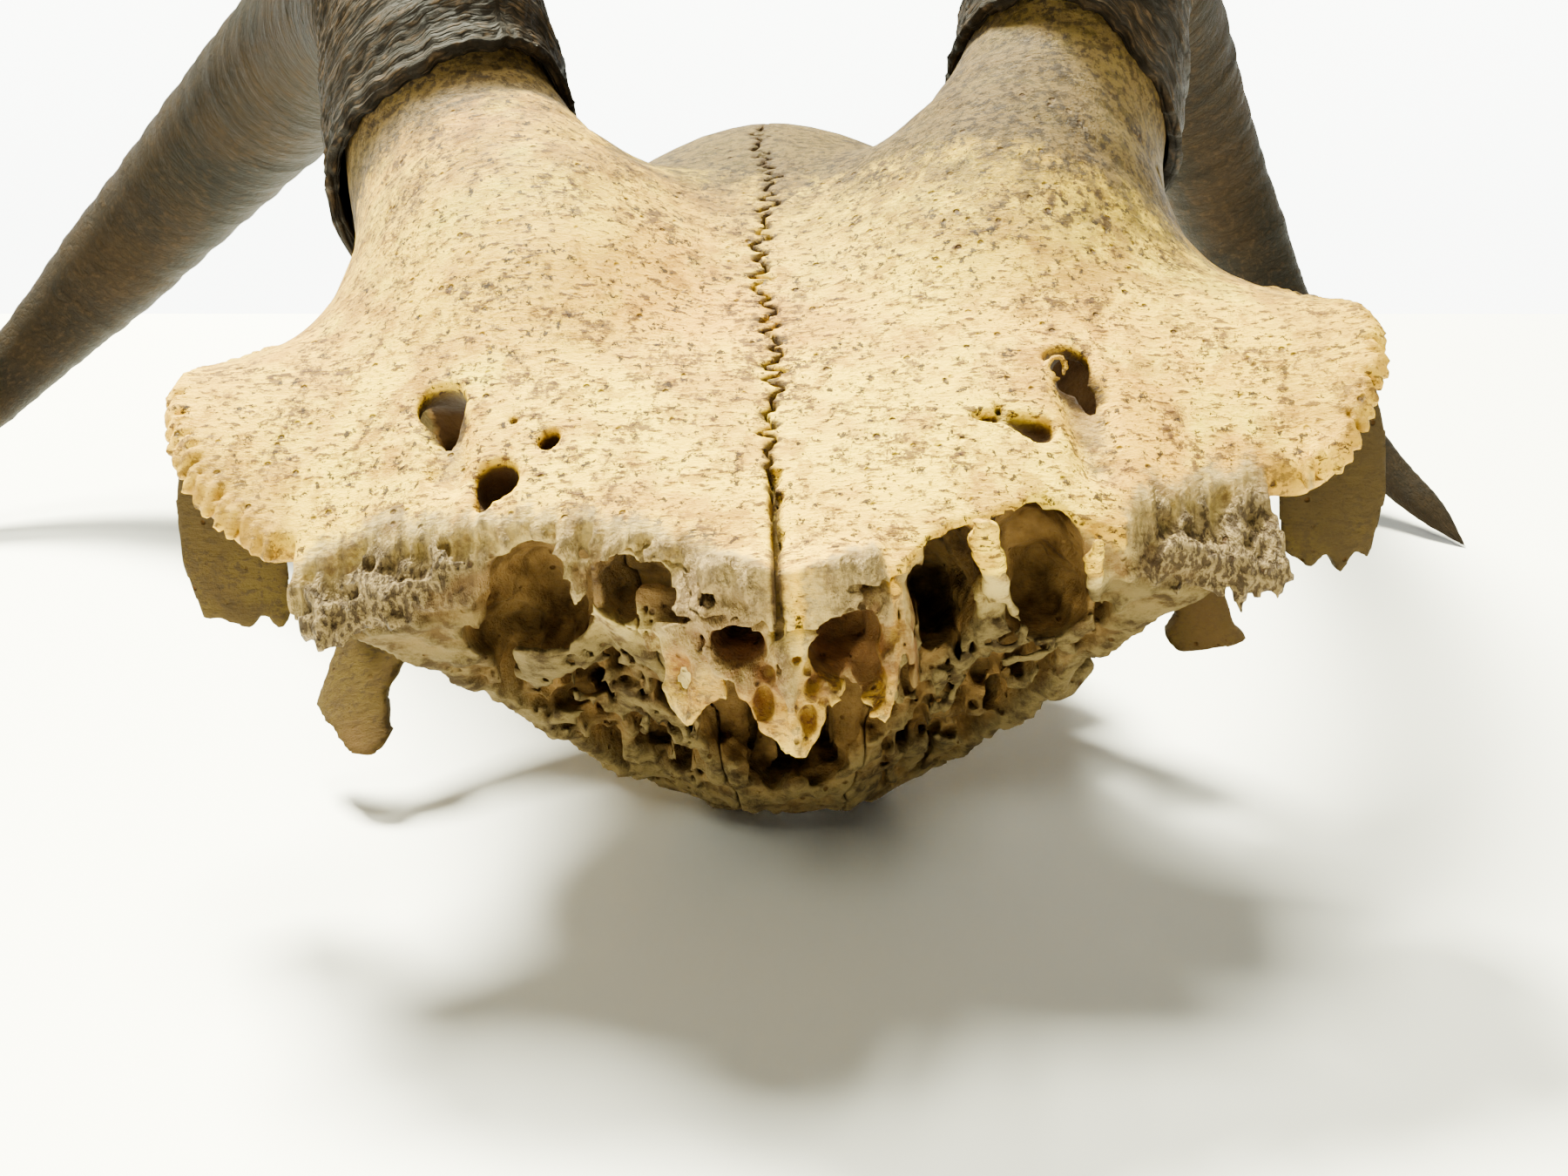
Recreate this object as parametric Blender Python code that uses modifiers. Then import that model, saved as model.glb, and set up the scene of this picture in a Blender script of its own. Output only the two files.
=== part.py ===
"""A goat's braincase with both horns, its face broken away at the sutures, lying on its base and horn tips.

Sizes are in millimetres times MM, so the scene is in metres. The skull is laid out in its own upright
frame: X runs to the animal's left, Y back from the nasion and Z up. settle() then rolls
it onto its resting place, where the horns are laid out.
"""

import math

import bmesh
import bpy
import numpy as np
from mathutils import Matrix, Vector

MM = 0.001
RIGHT_SIDE = -1
LEFT_SIDE = 1
SIDES = {"right": RIGHT_SIDE, "left": LEFT_SIDE}

# How the skull lies
ROLL = math.radians(-3.4)
ROLL_HEIGHT = 55 * MM
BOX_CENTRE = Vector((-23.8, 116.0, 0)) * MM

# Forehead
FOREHEAD_THICKNESS = 6.5 * MM

# Braincase
BRAINCASE_CENTRE = Vector((0, 91, 50)) * MM
BRAINCASE_RADII = Vector((32.5, 39, 35.3)) * MM
FORAMEN_RADIUS = 9.5 * MM

# Horns
SHEATH_IN_PLANE = 20.5 * MM
SHEATH_ACROSS = 15.3 * MM
SHEATH_TIP = 2.6 * MM
SHEATH_TAPER = 0.4
SHEATH_POINT = 0.8
MIDDLE_BULGE = 0.22
CORE_INSET = 2.8 * MM
CORE_GAP = 0.35 * MM
CORE_SHARE = 0.42
RING_COUNT = 16
RING_HEIGHT = 0.55 * MM
SIDES_OF_HORN = 18
CORE_RINGS = 12

# Meshes
GAP = 0.32 * MM
VOXEL = 1.25 * MM
WHOLE_TRIANGLES = 6000
BIG = 400 * MM
SHARP_ANGLE = math.radians(45)


def clear_scene():
    """Removes what the startup file holds."""
    for thing in list(bpy.data.objects):
        bpy.data.objects.remove(thing)


def collection(name):
    made = bpy.data.collections.new(name)
    bpy.context.scene.collection.children.link(made)
    return made


def settle(point):
    """A point of the upright skull, in metres, where it lies at rest."""
    x, y, z = point
    z -= ROLL_HEIGHT
    return Vector(
        (
            x * math.cos(ROLL) + z * math.sin(ROLL),
            y,
            z * math.cos(ROLL) - x * math.sin(ROLL) + ROLL_HEIGHT,
        )
    )


def unsettle_matrix():
    """The matrix that lays the upright skull down."""
    up = Matrix.Translation((0, 0, ROLL_HEIGHT))
    return up @ Matrix.Rotation(ROLL, 4, "Y") @ up.inverted()


def object_from(bm, name, group):
    """A named object from a bmesh, with its faces pointing out."""
    bmesh.ops.recalc_face_normals(bm, faces=bm.faces)
    mesh = bpy.data.meshes.new(name)
    bm.to_mesh(mesh)
    bm.free()
    made = bpy.data.objects.new(name, mesh)
    group.objects.link(made)
    return made


def applied(thing, name, group):
    """A plain mesh object of what the viewport shows, in place of the first one."""
    graph = bpy.context.evaluated_depsgraph_get()
    mesh = bpy.data.meshes.new_from_object(thing.evaluated_get(graph))
    mesh.transform(thing.matrix_world)
    bpy.data.objects.remove(thing)
    bm = bmesh.new()
    bm.from_mesh(mesh)
    bmesh.ops.remove_doubles(bm, verts=bm.verts, dist=0.01 * MM)
    return object_from(bm, name, group)


def ellipsoid(centre, radii, group, pitch=0.0, segments=28):
    """A closed egg of three radii, tipped about X by pitch degrees."""
    bm = bmesh.new()
    bmesh.ops.create_uvsphere(bm, u_segments=segments, v_segments=segments // 2, radius=1)
    place = Matrix.Translation(Vector(centre) * MM) @ Matrix.Rotation(math.radians(pitch), 4, "X")
    place = place @ Matrix.Diagonal((*(Vector(radii) * MM), 1))
    bmesh.ops.transform(bm, matrix=place, verts=bm.verts)
    return object_from(bm, "egg", group)


def tube(points, radii, group):
    """A round bar along points, each with its own radius."""
    curve = bpy.data.curves.new("bar", "CURVE")
    curve.dimensions = "3D"
    curve.bevel_depth = MM
    curve.bevel_resolution = 4
    curve.use_fill_caps = True
    spline = curve.splines.new("POLY")
    spline.points.add(len(points) - 1)
    for knot, point, radius in zip(spline.points, points, radii):
        knot.co = (*(Vector(point) * MM), 1)
        knot.radius = radius
    bar = bpy.data.objects.new("bar", curve)
    group.objects.link(bar)
    bpy.context.view_layer.update()
    return applied(bar, "bar", group)


def skin_rings(rings, name, group):
    """A closed body through rings of like count, with a point at each end closed by a fan."""
    bm = bmesh.new()
    loops = [[bm.verts.new(point) for point in ring] for ring in rings]
    for lower, upper in zip(loops, loops[1:]):
        for i in range(len(lower)):
            j = (i + 1) % len(lower)
            bm.faces.new((lower[i], lower[j], upper[j], upper[i]))
    for loop in (loops[0], loops[-1]):
        middle = bm.verts.new(sum((v.co for v in loop), Vector()) / len(loop))
        for i in range(len(loop)):
            bm.faces.new((loop[i], loop[(i + 1) % len(loop)], middle))
    bmesh.ops.triangulate(bm, faces=[f for f in bm.faces if len(f.verts) > 3])
    return object_from(bm, name, group)


def blade(stations, group):
    """A flat bar through stations of (centre, half width along X, half depth along Y)."""
    turns = [2 * math.pi * i / 16 for i in range(16)]
    rings = [
        [
            (Vector(centre) + Vector((wide * math.cos(a), deep * math.sin(a), 0))) * MM
            for a in turns
        ]
        for centre, wide, deep in stations
    ]
    return skin_rings(rings, "blade", group)


# The forehead

# Heights of the outer table at half the skull's width, each (x, y, z), from the nasion to the dome.
FOREHEAD_POINTS = (
    (0, 0, 47), (0, 20, 58), (0, 40, 68.5), (0, 60, 78.5), (0, 70, 81.8), (0, 84, 83.5),
    (17, 8, 51), (24, 16, 55.5), (30, 27, 62.5), (30, 45, 71.5), (30, 60, 79.5), (18, 80, 79.5), (30, 84, 75),
    (45, 13, 45.5), (54, 18, 50.5), (60, 25, 59), (60.5, 34, 65), (61, 43, 64.5),
    (56, 50, 65.5), (48, 58, 69.5), (44, 28, 60.5), (45, 42, 68), (44, 84, 66),
)
RIM_Y = (13, 17, 25, 34, 43, 50, 54, 60, 72, 84)
RIM_X = (44.5, 52.5, 58.6, 59.2, 61.0, 57.5, 53, 47.5, 44, 40)
EDGE_X = (0, 8, 17, 24, 30, 37, 45)
EDGE_Y = (0, 2.5, 9, 15, 13.5, 11.5, 13)


def plate_weights(points):
    """Weights of the thin plate spline through the forehead's points and their mirror images."""
    known = np.array(points, float)
    known = np.vstack([known, known[known[:, 0] > 0] * (-1, 1, 1)])
    apart = np.hypot(*(known[:, None, :2] - known[None, :, :2]).transpose(2, 0, 1))
    bend = np.where(apart > 0, apart**2 * np.log(np.maximum(apart, 1e-9)), 0)
    flat = np.column_stack([np.ones(len(known)), known[:, :2]])
    system = np.block([[bend + 2.0 * np.eye(len(known)), flat], [flat.T, np.zeros((3, 3))]])
    weights = np.linalg.solve(system, np.concatenate([known[:, 2], np.zeros(3)]))
    return known, weights


FOREHEAD_KNOWN, FOREHEAD_WEIGHTS = plate_weights(FOREHEAD_POINTS)


def forehead_height(x, y):
    """Height of the outer table over one point, in millimetres."""
    apart = np.hypot(FOREHEAD_KNOWN[:, 0] - x, FOREHEAD_KNOWN[:, 1] - y)
    bend = np.where(apart > 0, apart**2 * np.log(np.maximum(apart, 1e-9)), 0)
    return float(bend @ FOREHEAD_WEIGHTS[:-3] + FOREHEAD_WEIGHTS[-3:] @ (1, x, y))


def forehead(group):
    """The outer table as one bent plate, from the broken front edge to behind the horns."""
    across, along = 45, 34
    bm = bmesh.new()
    bmesh.ops.create_grid(bm, x_segments=across, y_segments=along, size=1)
    for v in bm.verts:
        share = (v.co.y + 1) / 2
        y = 84 * share**1.1
        fade = (1 - share) ** 3
        x = v.co.x * np.interp(y + fade * EDGE_Y[-1], RIM_Y, RIM_X)
        y += fade * np.interp(abs(x), EDGE_X, EDGE_Y)
        v.co = Vector((x, y, forehead_height(x, y))) * MM
    plate = object_from(bm, "forehead", group)
    solid = plate.modifiers.new("outer table", "SOLIDIFY")
    solid.thickness = FOREHEAD_THICKNESS
    solid.offset = -1
    bm = bmesh.new()
    bm.from_mesh(plate.data)
    if sum(f.normal.z for f in bm.faces) < 0:
        bmesh.ops.reverse_faces(bm, faces=bm.faces)
        bm.to_mesh(plate.data)
    bm.free()
    return applied(plate, "forehead", group)


def orbit_wall(side, group):
    """The orbit's inner wall, from the forehead down to the palate's stump."""
    top = [(44, 14, 46), (38, 17, 51), (31, 22, 55), (27, 32, 60), (26, 44, 66), (26, 56, 71)]
    low = [(41, 17, 40), (37, 22, 34), (31, 30, 28), (25, 37, 20), (19, 46, 12), (13, 55, 4)]
    rows = 8
    bm = bmesh.new()
    grid = []
    for upper, lower in zip(top, low):
        start, end = Vector(upper), Vector(lower)
        grid.append(
            [
                bm.verts.new((Vector((side, 1, 1)) * start.lerp(end, r / rows)) * MM)
                for r in range(rows + 1)
            ]
        )
    for a, b in zip(grid, grid[1:]):
        for r in range(rows):
            bm.faces.new((a[r], a[r + 1], b[r + 1], b[r]))
    wall = object_from(bm, "orbit wall", group)
    solid = wall.modifiers.new("wall", "SOLIDIFY")
    solid.thickness = 3.2 * MM
    solid.offset = 0
    return applied(wall, "orbit wall", group)


def postorbital_bar(side, group):
    return blade(
        [
            ((side * 57.0, 45, 64), 5.5, 4.4),
            ((side * 59.0, 44, 58), 6.6, 3.2),
            ((side * 61.0, 42, 50), 6.8, 2.5),
            ((side * 61.6, 41, 43), 6.6, 2.3),
            ((side * 61.4, 41, 38), 5.6, 2.1),
        ],
        group,
    )


def orbital_rim(side, group):
    """The thick lip over the eye, from the tear bone's suture back to the bar."""
    path = [(44, 15, 43.5), (49, 16, 46), (53, 20, 51), (57.6, 25, 57), (58.8, 33, 61.5), (59.5, 41, 61.5)]
    path = [(side * x, y, z) for x, y, z in path]
    return tube(path, [2.6, 2.5, 2.5, 2.6, 2.8, 3.0], group)


# The block between the orbits and the base


def orbit_block(group):
    """The bone and sieve plates between the orbits, narrowing to the palate's stump."""
    stations = [
        (1, 9, 5, 37, 45), (10, 18, 7, 31, 49), (22, 24, 9, 23, 55), (36, 25, 10, 14, 63),
        (50, 25, 11, 6, 70), (62, 26, 12, 6, 75), (76, 28, 13, 8, 79),
    ]
    rings = []
    for y, wide, narrow, low, high in stations:
        ring = []
        for i in range(20):
            a = 2 * math.pi * i / 20
            share = (math.sin(a) + 1) / 2
            half = narrow + (wide - narrow) * share
            ring.append(Vector((half * math.cos(a), y, low + (high - low) * share)) * MM)
        rings.append(ring)
    return skin_rings(rings, "orbit block", group)


def pterygoid(side, group):
    """The stump of the palate and pterygoid that the skull lies on."""
    return blade(
        [
            ((side * 9.5, 67, 20), 4.5, 13),
            ((side * 9.0, 65.5, 10), 5.0, 8.5),
            ((side * 8.6, 65, 2), 4.9, 4.8),
            ((side * 8.6, 65, -2.5), 4.4, 4.2),
        ],
        group,
    )


def base(group):
    tube([(0, 54, 11), (0, 78, 11.5), (0, 104, 12.5), (0, 128, 15)], [7, 8, 8.5, 8], group)


# The braincase


def braincase(group):
    centre, radii = BRAINCASE_CENTRE / MM, BRAINCASE_RADII / MM
    ellipsoid(centre, radii, group, segments=40)
    ellipsoid((0, 115, 43), (31, 17, 25), group)
    crest = [(-31, 112, 34), (-27, 117, 50), (-14, 125, 62), (0, 128, 66)]
    crest += [(-x, y, z) for x, y, z in reversed(crest[:-1])]
    tube(crest, [3.0, 2.8, 2.6, 2.8, 2.6, 2.8, 3.0], group)


def occipital_parts(side, group):
    """A condyle and the long process outside it."""
    ellipsoid((side * 13, 129, 19.5), (8, 9.5, 10.5), group, pitch=-20)
    path = [(side * 29, 112, 34), (side * 31, 114, 22), (side * 30.5, 115, 12), (side * 29, 114, 3.6)]
    tube(path, [6.5, 5.2, 3.6, 1.9], group)


def ear_parts(side, group):
    """The bulla, and the short tube of the ear hole."""
    ellipsoid((side * 20, 97, 15), (7.5, 10, 9), group, pitch=15)
    tube([(side * 22, 97, 24), (side * 37, 101, 29)], [5.5, 4.4], group)
    ellipsoid((side * 31, 84, 28), (7, 9, 5), group)


def pedicle(side, group):
    """The flare where the forehead rises into the horn core, laid where the horn starts."""
    axis = horn_axis(side)
    lean = (axis[3] - axis[0]).normalized()
    rings = []
    for back, grow in ((34, 7), (27, 6.5), (20, 4.6), (13, 2.4), (6, 0.8), (0, 0)):
        half_in_plane, half_across = core_size(0)
        ring = horn_ring(axis, 0, half_in_plane + grow * MM, half_across + grow * MM)
        slide = lean * back * MM + Vector((side * 0.10 * back * MM, 0, 0))
        rings.append([point - slide for point in ring])
    return skin_rings(rings, "pedicle", group)


# The two cheek stumps differ: how far out and up each one ends from the drawn line.
CHEEK_SHIFT = {RIGHT_SIDE: (1.8, -3.0), LEFT_SIDE: (-0.5, 2.2)}


def zygomatic_process(side, group):
    """The cheek arch's rear stump, flared where the cheekbone was joined to it."""
    stations = [
        ((27, 91, 33), 6, 11), ((36, 89, 33), 5, 9), ((45, 83, 31.5), 4.6, 6.2),
        ((51, 74, 28.5), 4.4, 5.0), ((53.5, 66, 24.5), 4.2, 5.2), ((54, 57, 20), 5.0, 6.4),
    ]
    out, rise = CHEEK_SHIFT[side]
    centres = []
    for i, ((x, y, z), _, _) in enumerate(stations):
        share = (i / (len(stations) - 1)) ** 2
        centres.append(Vector((side * (x + out * share), y, z + rise * share)))
    rings = []
    for i, (_, half_wide, half_high) in enumerate(stations):
        ahead = centres[min(i + 1, len(centres) - 1)] - centres[max(i - 1, 0)]
        across = ahead.cross(Vector((0, 0, 1))).normalized()
        up = across.cross(ahead).normalized()
        rings.append(
            [
                (centres[i] + across * half_wide * math.cos(a) + up * half_high * math.sin(a)) * MM
                for a in (2 * math.pi * k / 16 for k in range(16))
            ]
        )
    return skin_rings(rings, "cheek arch", group)


# The horns

# Where each sheath starts, how it bends and where its tip comes to rest, as five Bezier handles.
HORN_HANDLES = {
    RIGHT_SIDE: (
        (-40.2, 79, 80),
        (-54, 110.8, 113.7),
        (-55.6, 204.9, 137.3),
        (-159.4, 248.1, 43.5),
        (-187.4, 160.2, 2.2),
    ),
    LEFT_SIDE: (
        (36.4, 81, 87),
        (45.2, 101, 114.4),
        (45.3, 196.3, 204.8),
        (97.3, 275.4, 31.4),
        (140.6, 172.2, 2.2),
    ),
}
HORN_STEPS = 240
BEND_REACH = 40


def horn_axis(side):
    """Points along the horn's middle line, evenly spaced, in metres."""
    handles = [Vector(h) * MM for h in HORN_HANDLES[side]]
    rough = []
    for i in range(HORN_STEPS + 1):
        t = i / HORN_STEPS
        terms = [
            math.comb(4, k) * t**k * (1 - t) ** (4 - k) * handle for k, handle in enumerate(handles)
        ]
        rough.append(sum(terms, Vector()))
    steps = [0.0]
    for a, b in zip(rough, rough[1:]):
        steps.append(steps[-1] + (b - a).length)
    even = np.linspace(0, steps[-1], HORN_STEPS + 1)
    columns = [np.interp(even, steps, [p[k] for p in rough]) for k in range(3)]
    return [Vector(p) for p in zip(*columns)]


def horn_ring(axis, share, in_plane, across, lift=None):
    """A ring of the horn at a share of its length. lift moves its points along the horn, by angle."""
    place = min(max(share, 0), 1) * HORN_STEPS
    i = min(int(place), HORN_STEPS - 1)
    centre = axis[i].lerp(axis[i + 1], place - i)
    ahead = (axis[min(i + 3, HORN_STEPS)] - axis[max(i - 3, 0)]).normalized()
    middle = min(max(place, BEND_REACH), HORN_STEPS - BEND_REACH)
    near, mid, far = (axis[int(middle + k * BEND_REACH)] for k in (-1, 0, 1))
    bend = (far - mid).cross(near - mid).normalized()
    outer = ahead.cross(bend).normalized()
    side_way = ahead.cross(outer).normalized()
    ring = []
    for k in range(SIDES_OF_HORN):
        a = 2 * math.pi * k / SIDES_OF_HORN
        keel = 1 - 0.12 * math.cos(a)
        point = centre + outer * in_plane * math.cos(a) + side_way * across * keel * math.sin(a)
        if lift:
            point += ahead * lift(a)
        ring.append(point)
    return ring


def taper(share):
    return (1 - share) ** SHEATH_TAPER


def sheath_size(share):
    """Half sizes of the sheath in the plane of its bend and across it, with its growth rings."""
    ripple = RING_HEIGHT * math.sin(2 * math.pi * RING_COUNT * share) * (1 - share) ** 0.6
    full = taper(share) * (1 + MIDDLE_BULGE * math.exp(-(((share - 0.5) / 0.2) ** 2)))
    full *= 1 - SHEATH_POINT * max(share - 0.7, 0) / 0.3
    in_plane = SHEATH_TIP + (SHEATH_IN_PLANE - SHEATH_TIP) * full + ripple
    across = SHEATH_TIP + (SHEATH_ACROSS - SHEATH_TIP) * full + ripple
    return in_plane, across


def core_size(share):
    """Half sizes of the bone core inside the sheath."""
    in_plane, across = sheath_size(0)
    left = max(1 - (share / CORE_SHARE) ** 1.6, 0.02)
    return (in_plane - CORE_INSET) * left**0.6, (across - 0.7 * CORE_INSET) * left**0.6


def core_rings(side, grow):
    """Rings of the core from its root to its tip, each grown by the same amount."""
    axis = horn_axis(side)
    rings = []
    for i in range(CORE_RINGS + 1):
        share = CORE_SHARE * i / CORE_RINGS
        in_plane, across = core_size(share)
        rings.append(horn_ring(axis, share, in_plane + grow, across + grow))
    return rings


def horn_core(side, group):
    """The bone inside the sheath, with its root sunk in the pedicle."""
    axis = horn_axis(side)
    rings = core_rings(side, 0)
    slide = (axis[4] - axis[0]).normalized() * 11 * MM
    root = [point - slide for point in rings[0]]
    return skin_rings([root] + rings, "horn core", group)


# Each sheath has slipped: how far its edge stands down the core, and how far it is tipped and which way.
RIM_SLIP = {RIGHT_SIDE: (-2.2, 0.4, 0.0), LEFT_SIDE: (-4.2, 3.4, -1.05)}


def rim_lift(side):
    """How far the sheath's torn lower edge stands along the horn, as a function of the angle."""
    slip, tilt, way = RIM_SLIP[side]

    def lift(angle):
        torn = 0.8 * math.sin(angle * 3 + 0.6) + 0.6 * math.sin(angle * 7)
        return (slip + tilt * math.cos(angle - way) + torn) * MM

    return lift


def sheath_room(side, group):
    """The room that the sheath's lower half takes up, which the bone around it keeps clear of."""
    axis = horn_axis(side)
    rings = []
    for i in range(9):
        share = 0.06 * i
        half_in_plane, half_across = sheath_size(0)
        ring = horn_ring(axis, share, half_in_plane + MM, half_across + MM, rim_lift(side))
        if i == 0:
            slide = (axis[3] - axis[0]).normalized() * 0.6 * MM
            ring = [point - slide for point in ring]
        rings.append(ring)
    return skin_rings(rings, "sheath room", group)


def horn_sheath(side, name, group):
    """The hollow sheath of horn: out along its outside from the rim to the tip, and back up the hollow."""
    axis = horn_axis(side)
    outside = 3 * RING_COUNT + 4
    hollow = core_rings(side, CORE_GAP)
    end = (axis[HORN_STEPS // 2] - axis[HORN_STEPS // 2 - 20]).normalized() * 1.5 * MM
    rings = [[point + end for point in hollow[-1]]] + hollow[:0:-1]
    lip = sheath_size(0)
    wave = rim_lift(side)
    rings.append(horn_ring(axis, 0.0, lip[0] - 1.3 * MM, lip[1] - 1.1 * MM, wave))
    rings.append(horn_ring(axis, 0.0, lip[0] + 0.5 * MM, lip[1] + 0.5 * MM, wave))
    for i in range(outside + 1):
        share = 0.012 + (1 - 0.012) * i / outside
        fade = max(1 - i / 4, 0)
        size = sheath_size(min(share, 0.9995))
        rings.append(horn_ring(axis, share, *size, lambda a, f=fade: f * wave(a)))
    return skin_rings(rings, name, group)


# Caves and cuts


def caves(group):
    """Hollows that open at the broken front, and the holes that a goat's skull has."""
    ellipsoid((-24, 15, 45.5), (4.6, 15, 4.4), group, pitch=26, segments=16)
    ellipsoid((-14.5, 11, 44.5), (4.0, 13, 3.8), group, pitch=26, segments=16)
    ellipsoid((26, 20, 47), (5.6, 15, 6.2), group, pitch=26, segments=16)
    ellipsoid((15.5, 13, 45), (4.2, 14, 5.0), group, pitch=26, segments=16)
    ellipsoid((-4.2, 1, 41), (2.7, 9, 2.3), group, pitch=20, segments=14)
    ellipsoid((5.6, 1, 40.6), (3.6, 10, 3.5), group, pitch=20, segments=14)
    ellipsoid((0, 133, 25), (FORAMEN_RADIUS / MM, 14, 8.5), group, segments=20)
    for side in SIDES.values():
        ellipsoid((side * 31, 27, 62), (2.6, 4.2, 4.5), group, segments=12)
        ellipsoid((side * 23, 21, 55.5), (1.9, 2.6, 4.0), group, segments=12)
        ellipsoid((side * 17, 61, 26), (4.5, 5, 4.2), group, segments=12)
        ellipsoid((side * 37, 101, 29), (3.4, 2.4, 2.4), group, segments=12)


# Planes along the sutures, each a point and the direction that it faces, in the upright skull.
CORONAL = ((0, 103, 86), (0, 0.93, -0.37))
LAMBDOID = ((0, 118, 62), (0, 0.985, -0.17))
SPHENOID_TOP = ((0, 45, 8.5), (0, -0.37, 0.929))
SIEVE_TOP = ((0, 2, 43), (0, -0.235, 0.972))
SIEVE_SIDES = (((14, 0, 50), (0.98, 0, -0.2)), ((-14, 0, 50), (-0.98, 0, -0.2)))
TEMPLE_FRONT = ((0, 76, 30), (0, -0.995, 0.1))
TEMPLE_TOP = ((0, 90, 56), (0, 0.2, 0.98))


def squamosal(side):
    """The plane on the inside of one temple bone, facing the middle."""
    return ((side * 30, 0, 58), (side * -0.939, 0, 0.343))


def back_of(plane):
    """The same plane facing the other way."""
    point, normal = plane
    return (point, tuple(-n for n in normal))


def wedge(planes, grow, group):
    """The body behind all of the planes, each moved out by grow."""
    bm = bmesh.new()
    bmesh.ops.create_cube(bm, size=2 * BIG)
    for point, normal in planes:
        normal = Vector(normal).normalized()
        middle = Vector(point) * MM + normal * grow
        every = bm.verts[:] + bm.edges[:] + bm.faces[:]
        cut = bmesh.ops.bisect_plane(bm, geom=every, plane_co=middle, plane_no=normal, clear_outer=True)
        rim = [e for e in cut["geom_cut"] if isinstance(e, bmesh.types.BMEdge)]
        bmesh.ops.contextual_create(bm, geom=rim)
    bmesh.ops.transform(bm, matrix=unsettle_matrix(), verts=bm.verts)
    return object_from(bm, "wedge", group)


def booleaned(thing, operation, other, name, group):
    """The first object with the second cut from it or joined to it."""
    step = thing.modifiers.new("joint", "BOOLEAN")
    step.operation = operation
    step.solver = "MANIFOLD"
    step.object = other
    made = applied(thing, name, group)
    bpy.data.objects.remove(other)
    return made


def largest_pieces(thing, count=1):
    """Keeps the count largest closed surfaces of an object, and gives back their middles' X."""
    bm = bmesh.new()
    bm.from_mesh(thing.data)
    bm.verts.ensure_lookup_table()
    seen, parts = set(), []
    for start in bm.verts:
        if start.index in seen:
            continue
        stack, part = [start], []
        seen.add(start.index)
        while stack:
            vert = stack.pop()
            part.append(vert)
            for edge in vert.link_edges:
                other = edge.other_vert(vert)
                if other.index not in seen:
                    seen.add(other.index)
                    stack.append(other)
        parts.append(part)

    def reach(part):
        spans = [max(v.co[k] for v in part) - min(v.co[k] for v in part) for k in range(3)]
        return spans[0] * spans[1] * spans[2]

    parts.sort(key=reach, reverse=True)
    bmesh.ops.delete(bm, geom=[v for part in parts[count:] for v in part], context="VERTS")
    bm.to_mesh(thing.data)
    bm.free()
    return thing


def bone(whole, name, within, without, group, scraps):
    """The part of the whole skull inside one wedge and outside others, parted by a gap."""
    made = bpy.data.objects.new(name, whole.data.copy())
    group.objects.link(made)
    made = booleaned(made, "INTERSECT", wedge(within, -GAP / 2, scraps), name, group)
    for planes in without:
        made = booleaned(made, "DIFFERENCE", wedge(planes, GAP / 2, scraps), name, group)
    return largest_pieces(made)


def suture_blade(group):
    """A thin zigzag wall down the middle of the forehead."""
    bm = bmesh.new()
    half = GAP / 2
    teeth = 46
    near, far = [], []
    for i in range(teeth + 1):
        y = -12 + 132 * i / teeth
        calm = np.interp(y, (8, 22, 70, 96), (0.25, 1, 1, 0.6))
        x = calm * (1.5 * (-1) ** i + 0.9 * math.sin(i * 0.7))
        for line, offset in ((near, -half), (far, half)):
            line.append((x * MM + offset, y * MM))
    outline = near + far[::-1]
    low = [bm.verts.new((x, y, 20 * MM)) for x, y in outline]
    high = [bm.verts.new((x, y, 110 * MM)) for x, y in outline]
    count = len(outline)
    for i in range(count):
        j = (i + 1) % count
        bm.faces.new((low[i], low[j], high[j], high[i]))
    for i in range(teeth):
        j = count - 1 - i
        bm.faces.new((low[i], low[i + 1], low[j - 1], low[j]))
        bm.faces.new((high[i], high[j], high[j - 1], high[i + 1]))
    bmesh.ops.transform(bm, matrix=unsettle_matrix(), verts=bm.verts)
    return object_from(bm, "suture", group)


def split_frontals(both, group):
    """The forehead's two bones, parted at the zigzag suture."""
    largest_pieces(both, 2)
    bm = bmesh.new()
    bm.from_mesh(both.data)
    made = []
    for name, side in (("frontal_right", RIGHT_SIDE), ("frontal_left", LEFT_SIDE)):
        part = bm.copy()
        part.verts.ensure_lookup_table()
        seed = max(part.verts, key=lambda v: side * v.co.x)
        keep, stack = {seed}, [seed]
        while stack:
            for edge in stack.pop().link_edges:
                for vert in edge.verts:
                    if vert not in keep:
                        keep.add(vert)
                        stack.append(vert)
        bmesh.ops.delete(part, geom=[v for v in part.verts if v not in keep], context="VERTS")
        made.append(object_from(part, name, group))
    bm.free()
    bpy.data.objects.remove(both)
    return made


def is_closed(mesh):
    """Whether each edge of the mesh has just two faces."""
    bm = bmesh.new()
    bm.from_mesh(mesh)
    closed = all(len(edge.link_faces) == 2 for edge in bm.edges)
    bm.free()
    return closed


def closed_version(thing, change, name, group):
    """The object after change(object, attempt) set up a modifier, at the first attempt that stays closed."""
    for attempt in range(12):
        trial = bpy.data.objects.new(name, thing.data.copy())
        group.objects.link(trial)
        change(trial, attempt)
        trial = largest_pieces(applied(trial, name, group))
        if is_closed(trial.data) or attempt == 11:
            break
        bpy.data.objects.remove(trial)
    bpy.data.objects.remove(thing)
    return trial


def fuse(thing, attempt):
    """Makes one surface of all the pieces and softens the joins between them."""
    step = thing.modifiers.new("fuse", "REMESH")
    step.mode = "VOXEL"
    step.voxel_size = VOXEL * (1 + 0.01 * attempt)
    soften = thing.modifiers.new("soften", "SMOOTH")
    soften.factor = 0.5
    soften.iterations = 4


def thin_out(thing, attempt):
    """Leaves about the wanted number of triangles."""
    triangles = sum(len(p.vertices) - 2 for p in thing.data.polygons)
    step = thing.modifiers.new("thin out", "DECIMATE")
    step.ratio = WHOLE_TRIANGLES / triangles * (1 + 0.015 * attempt)


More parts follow.
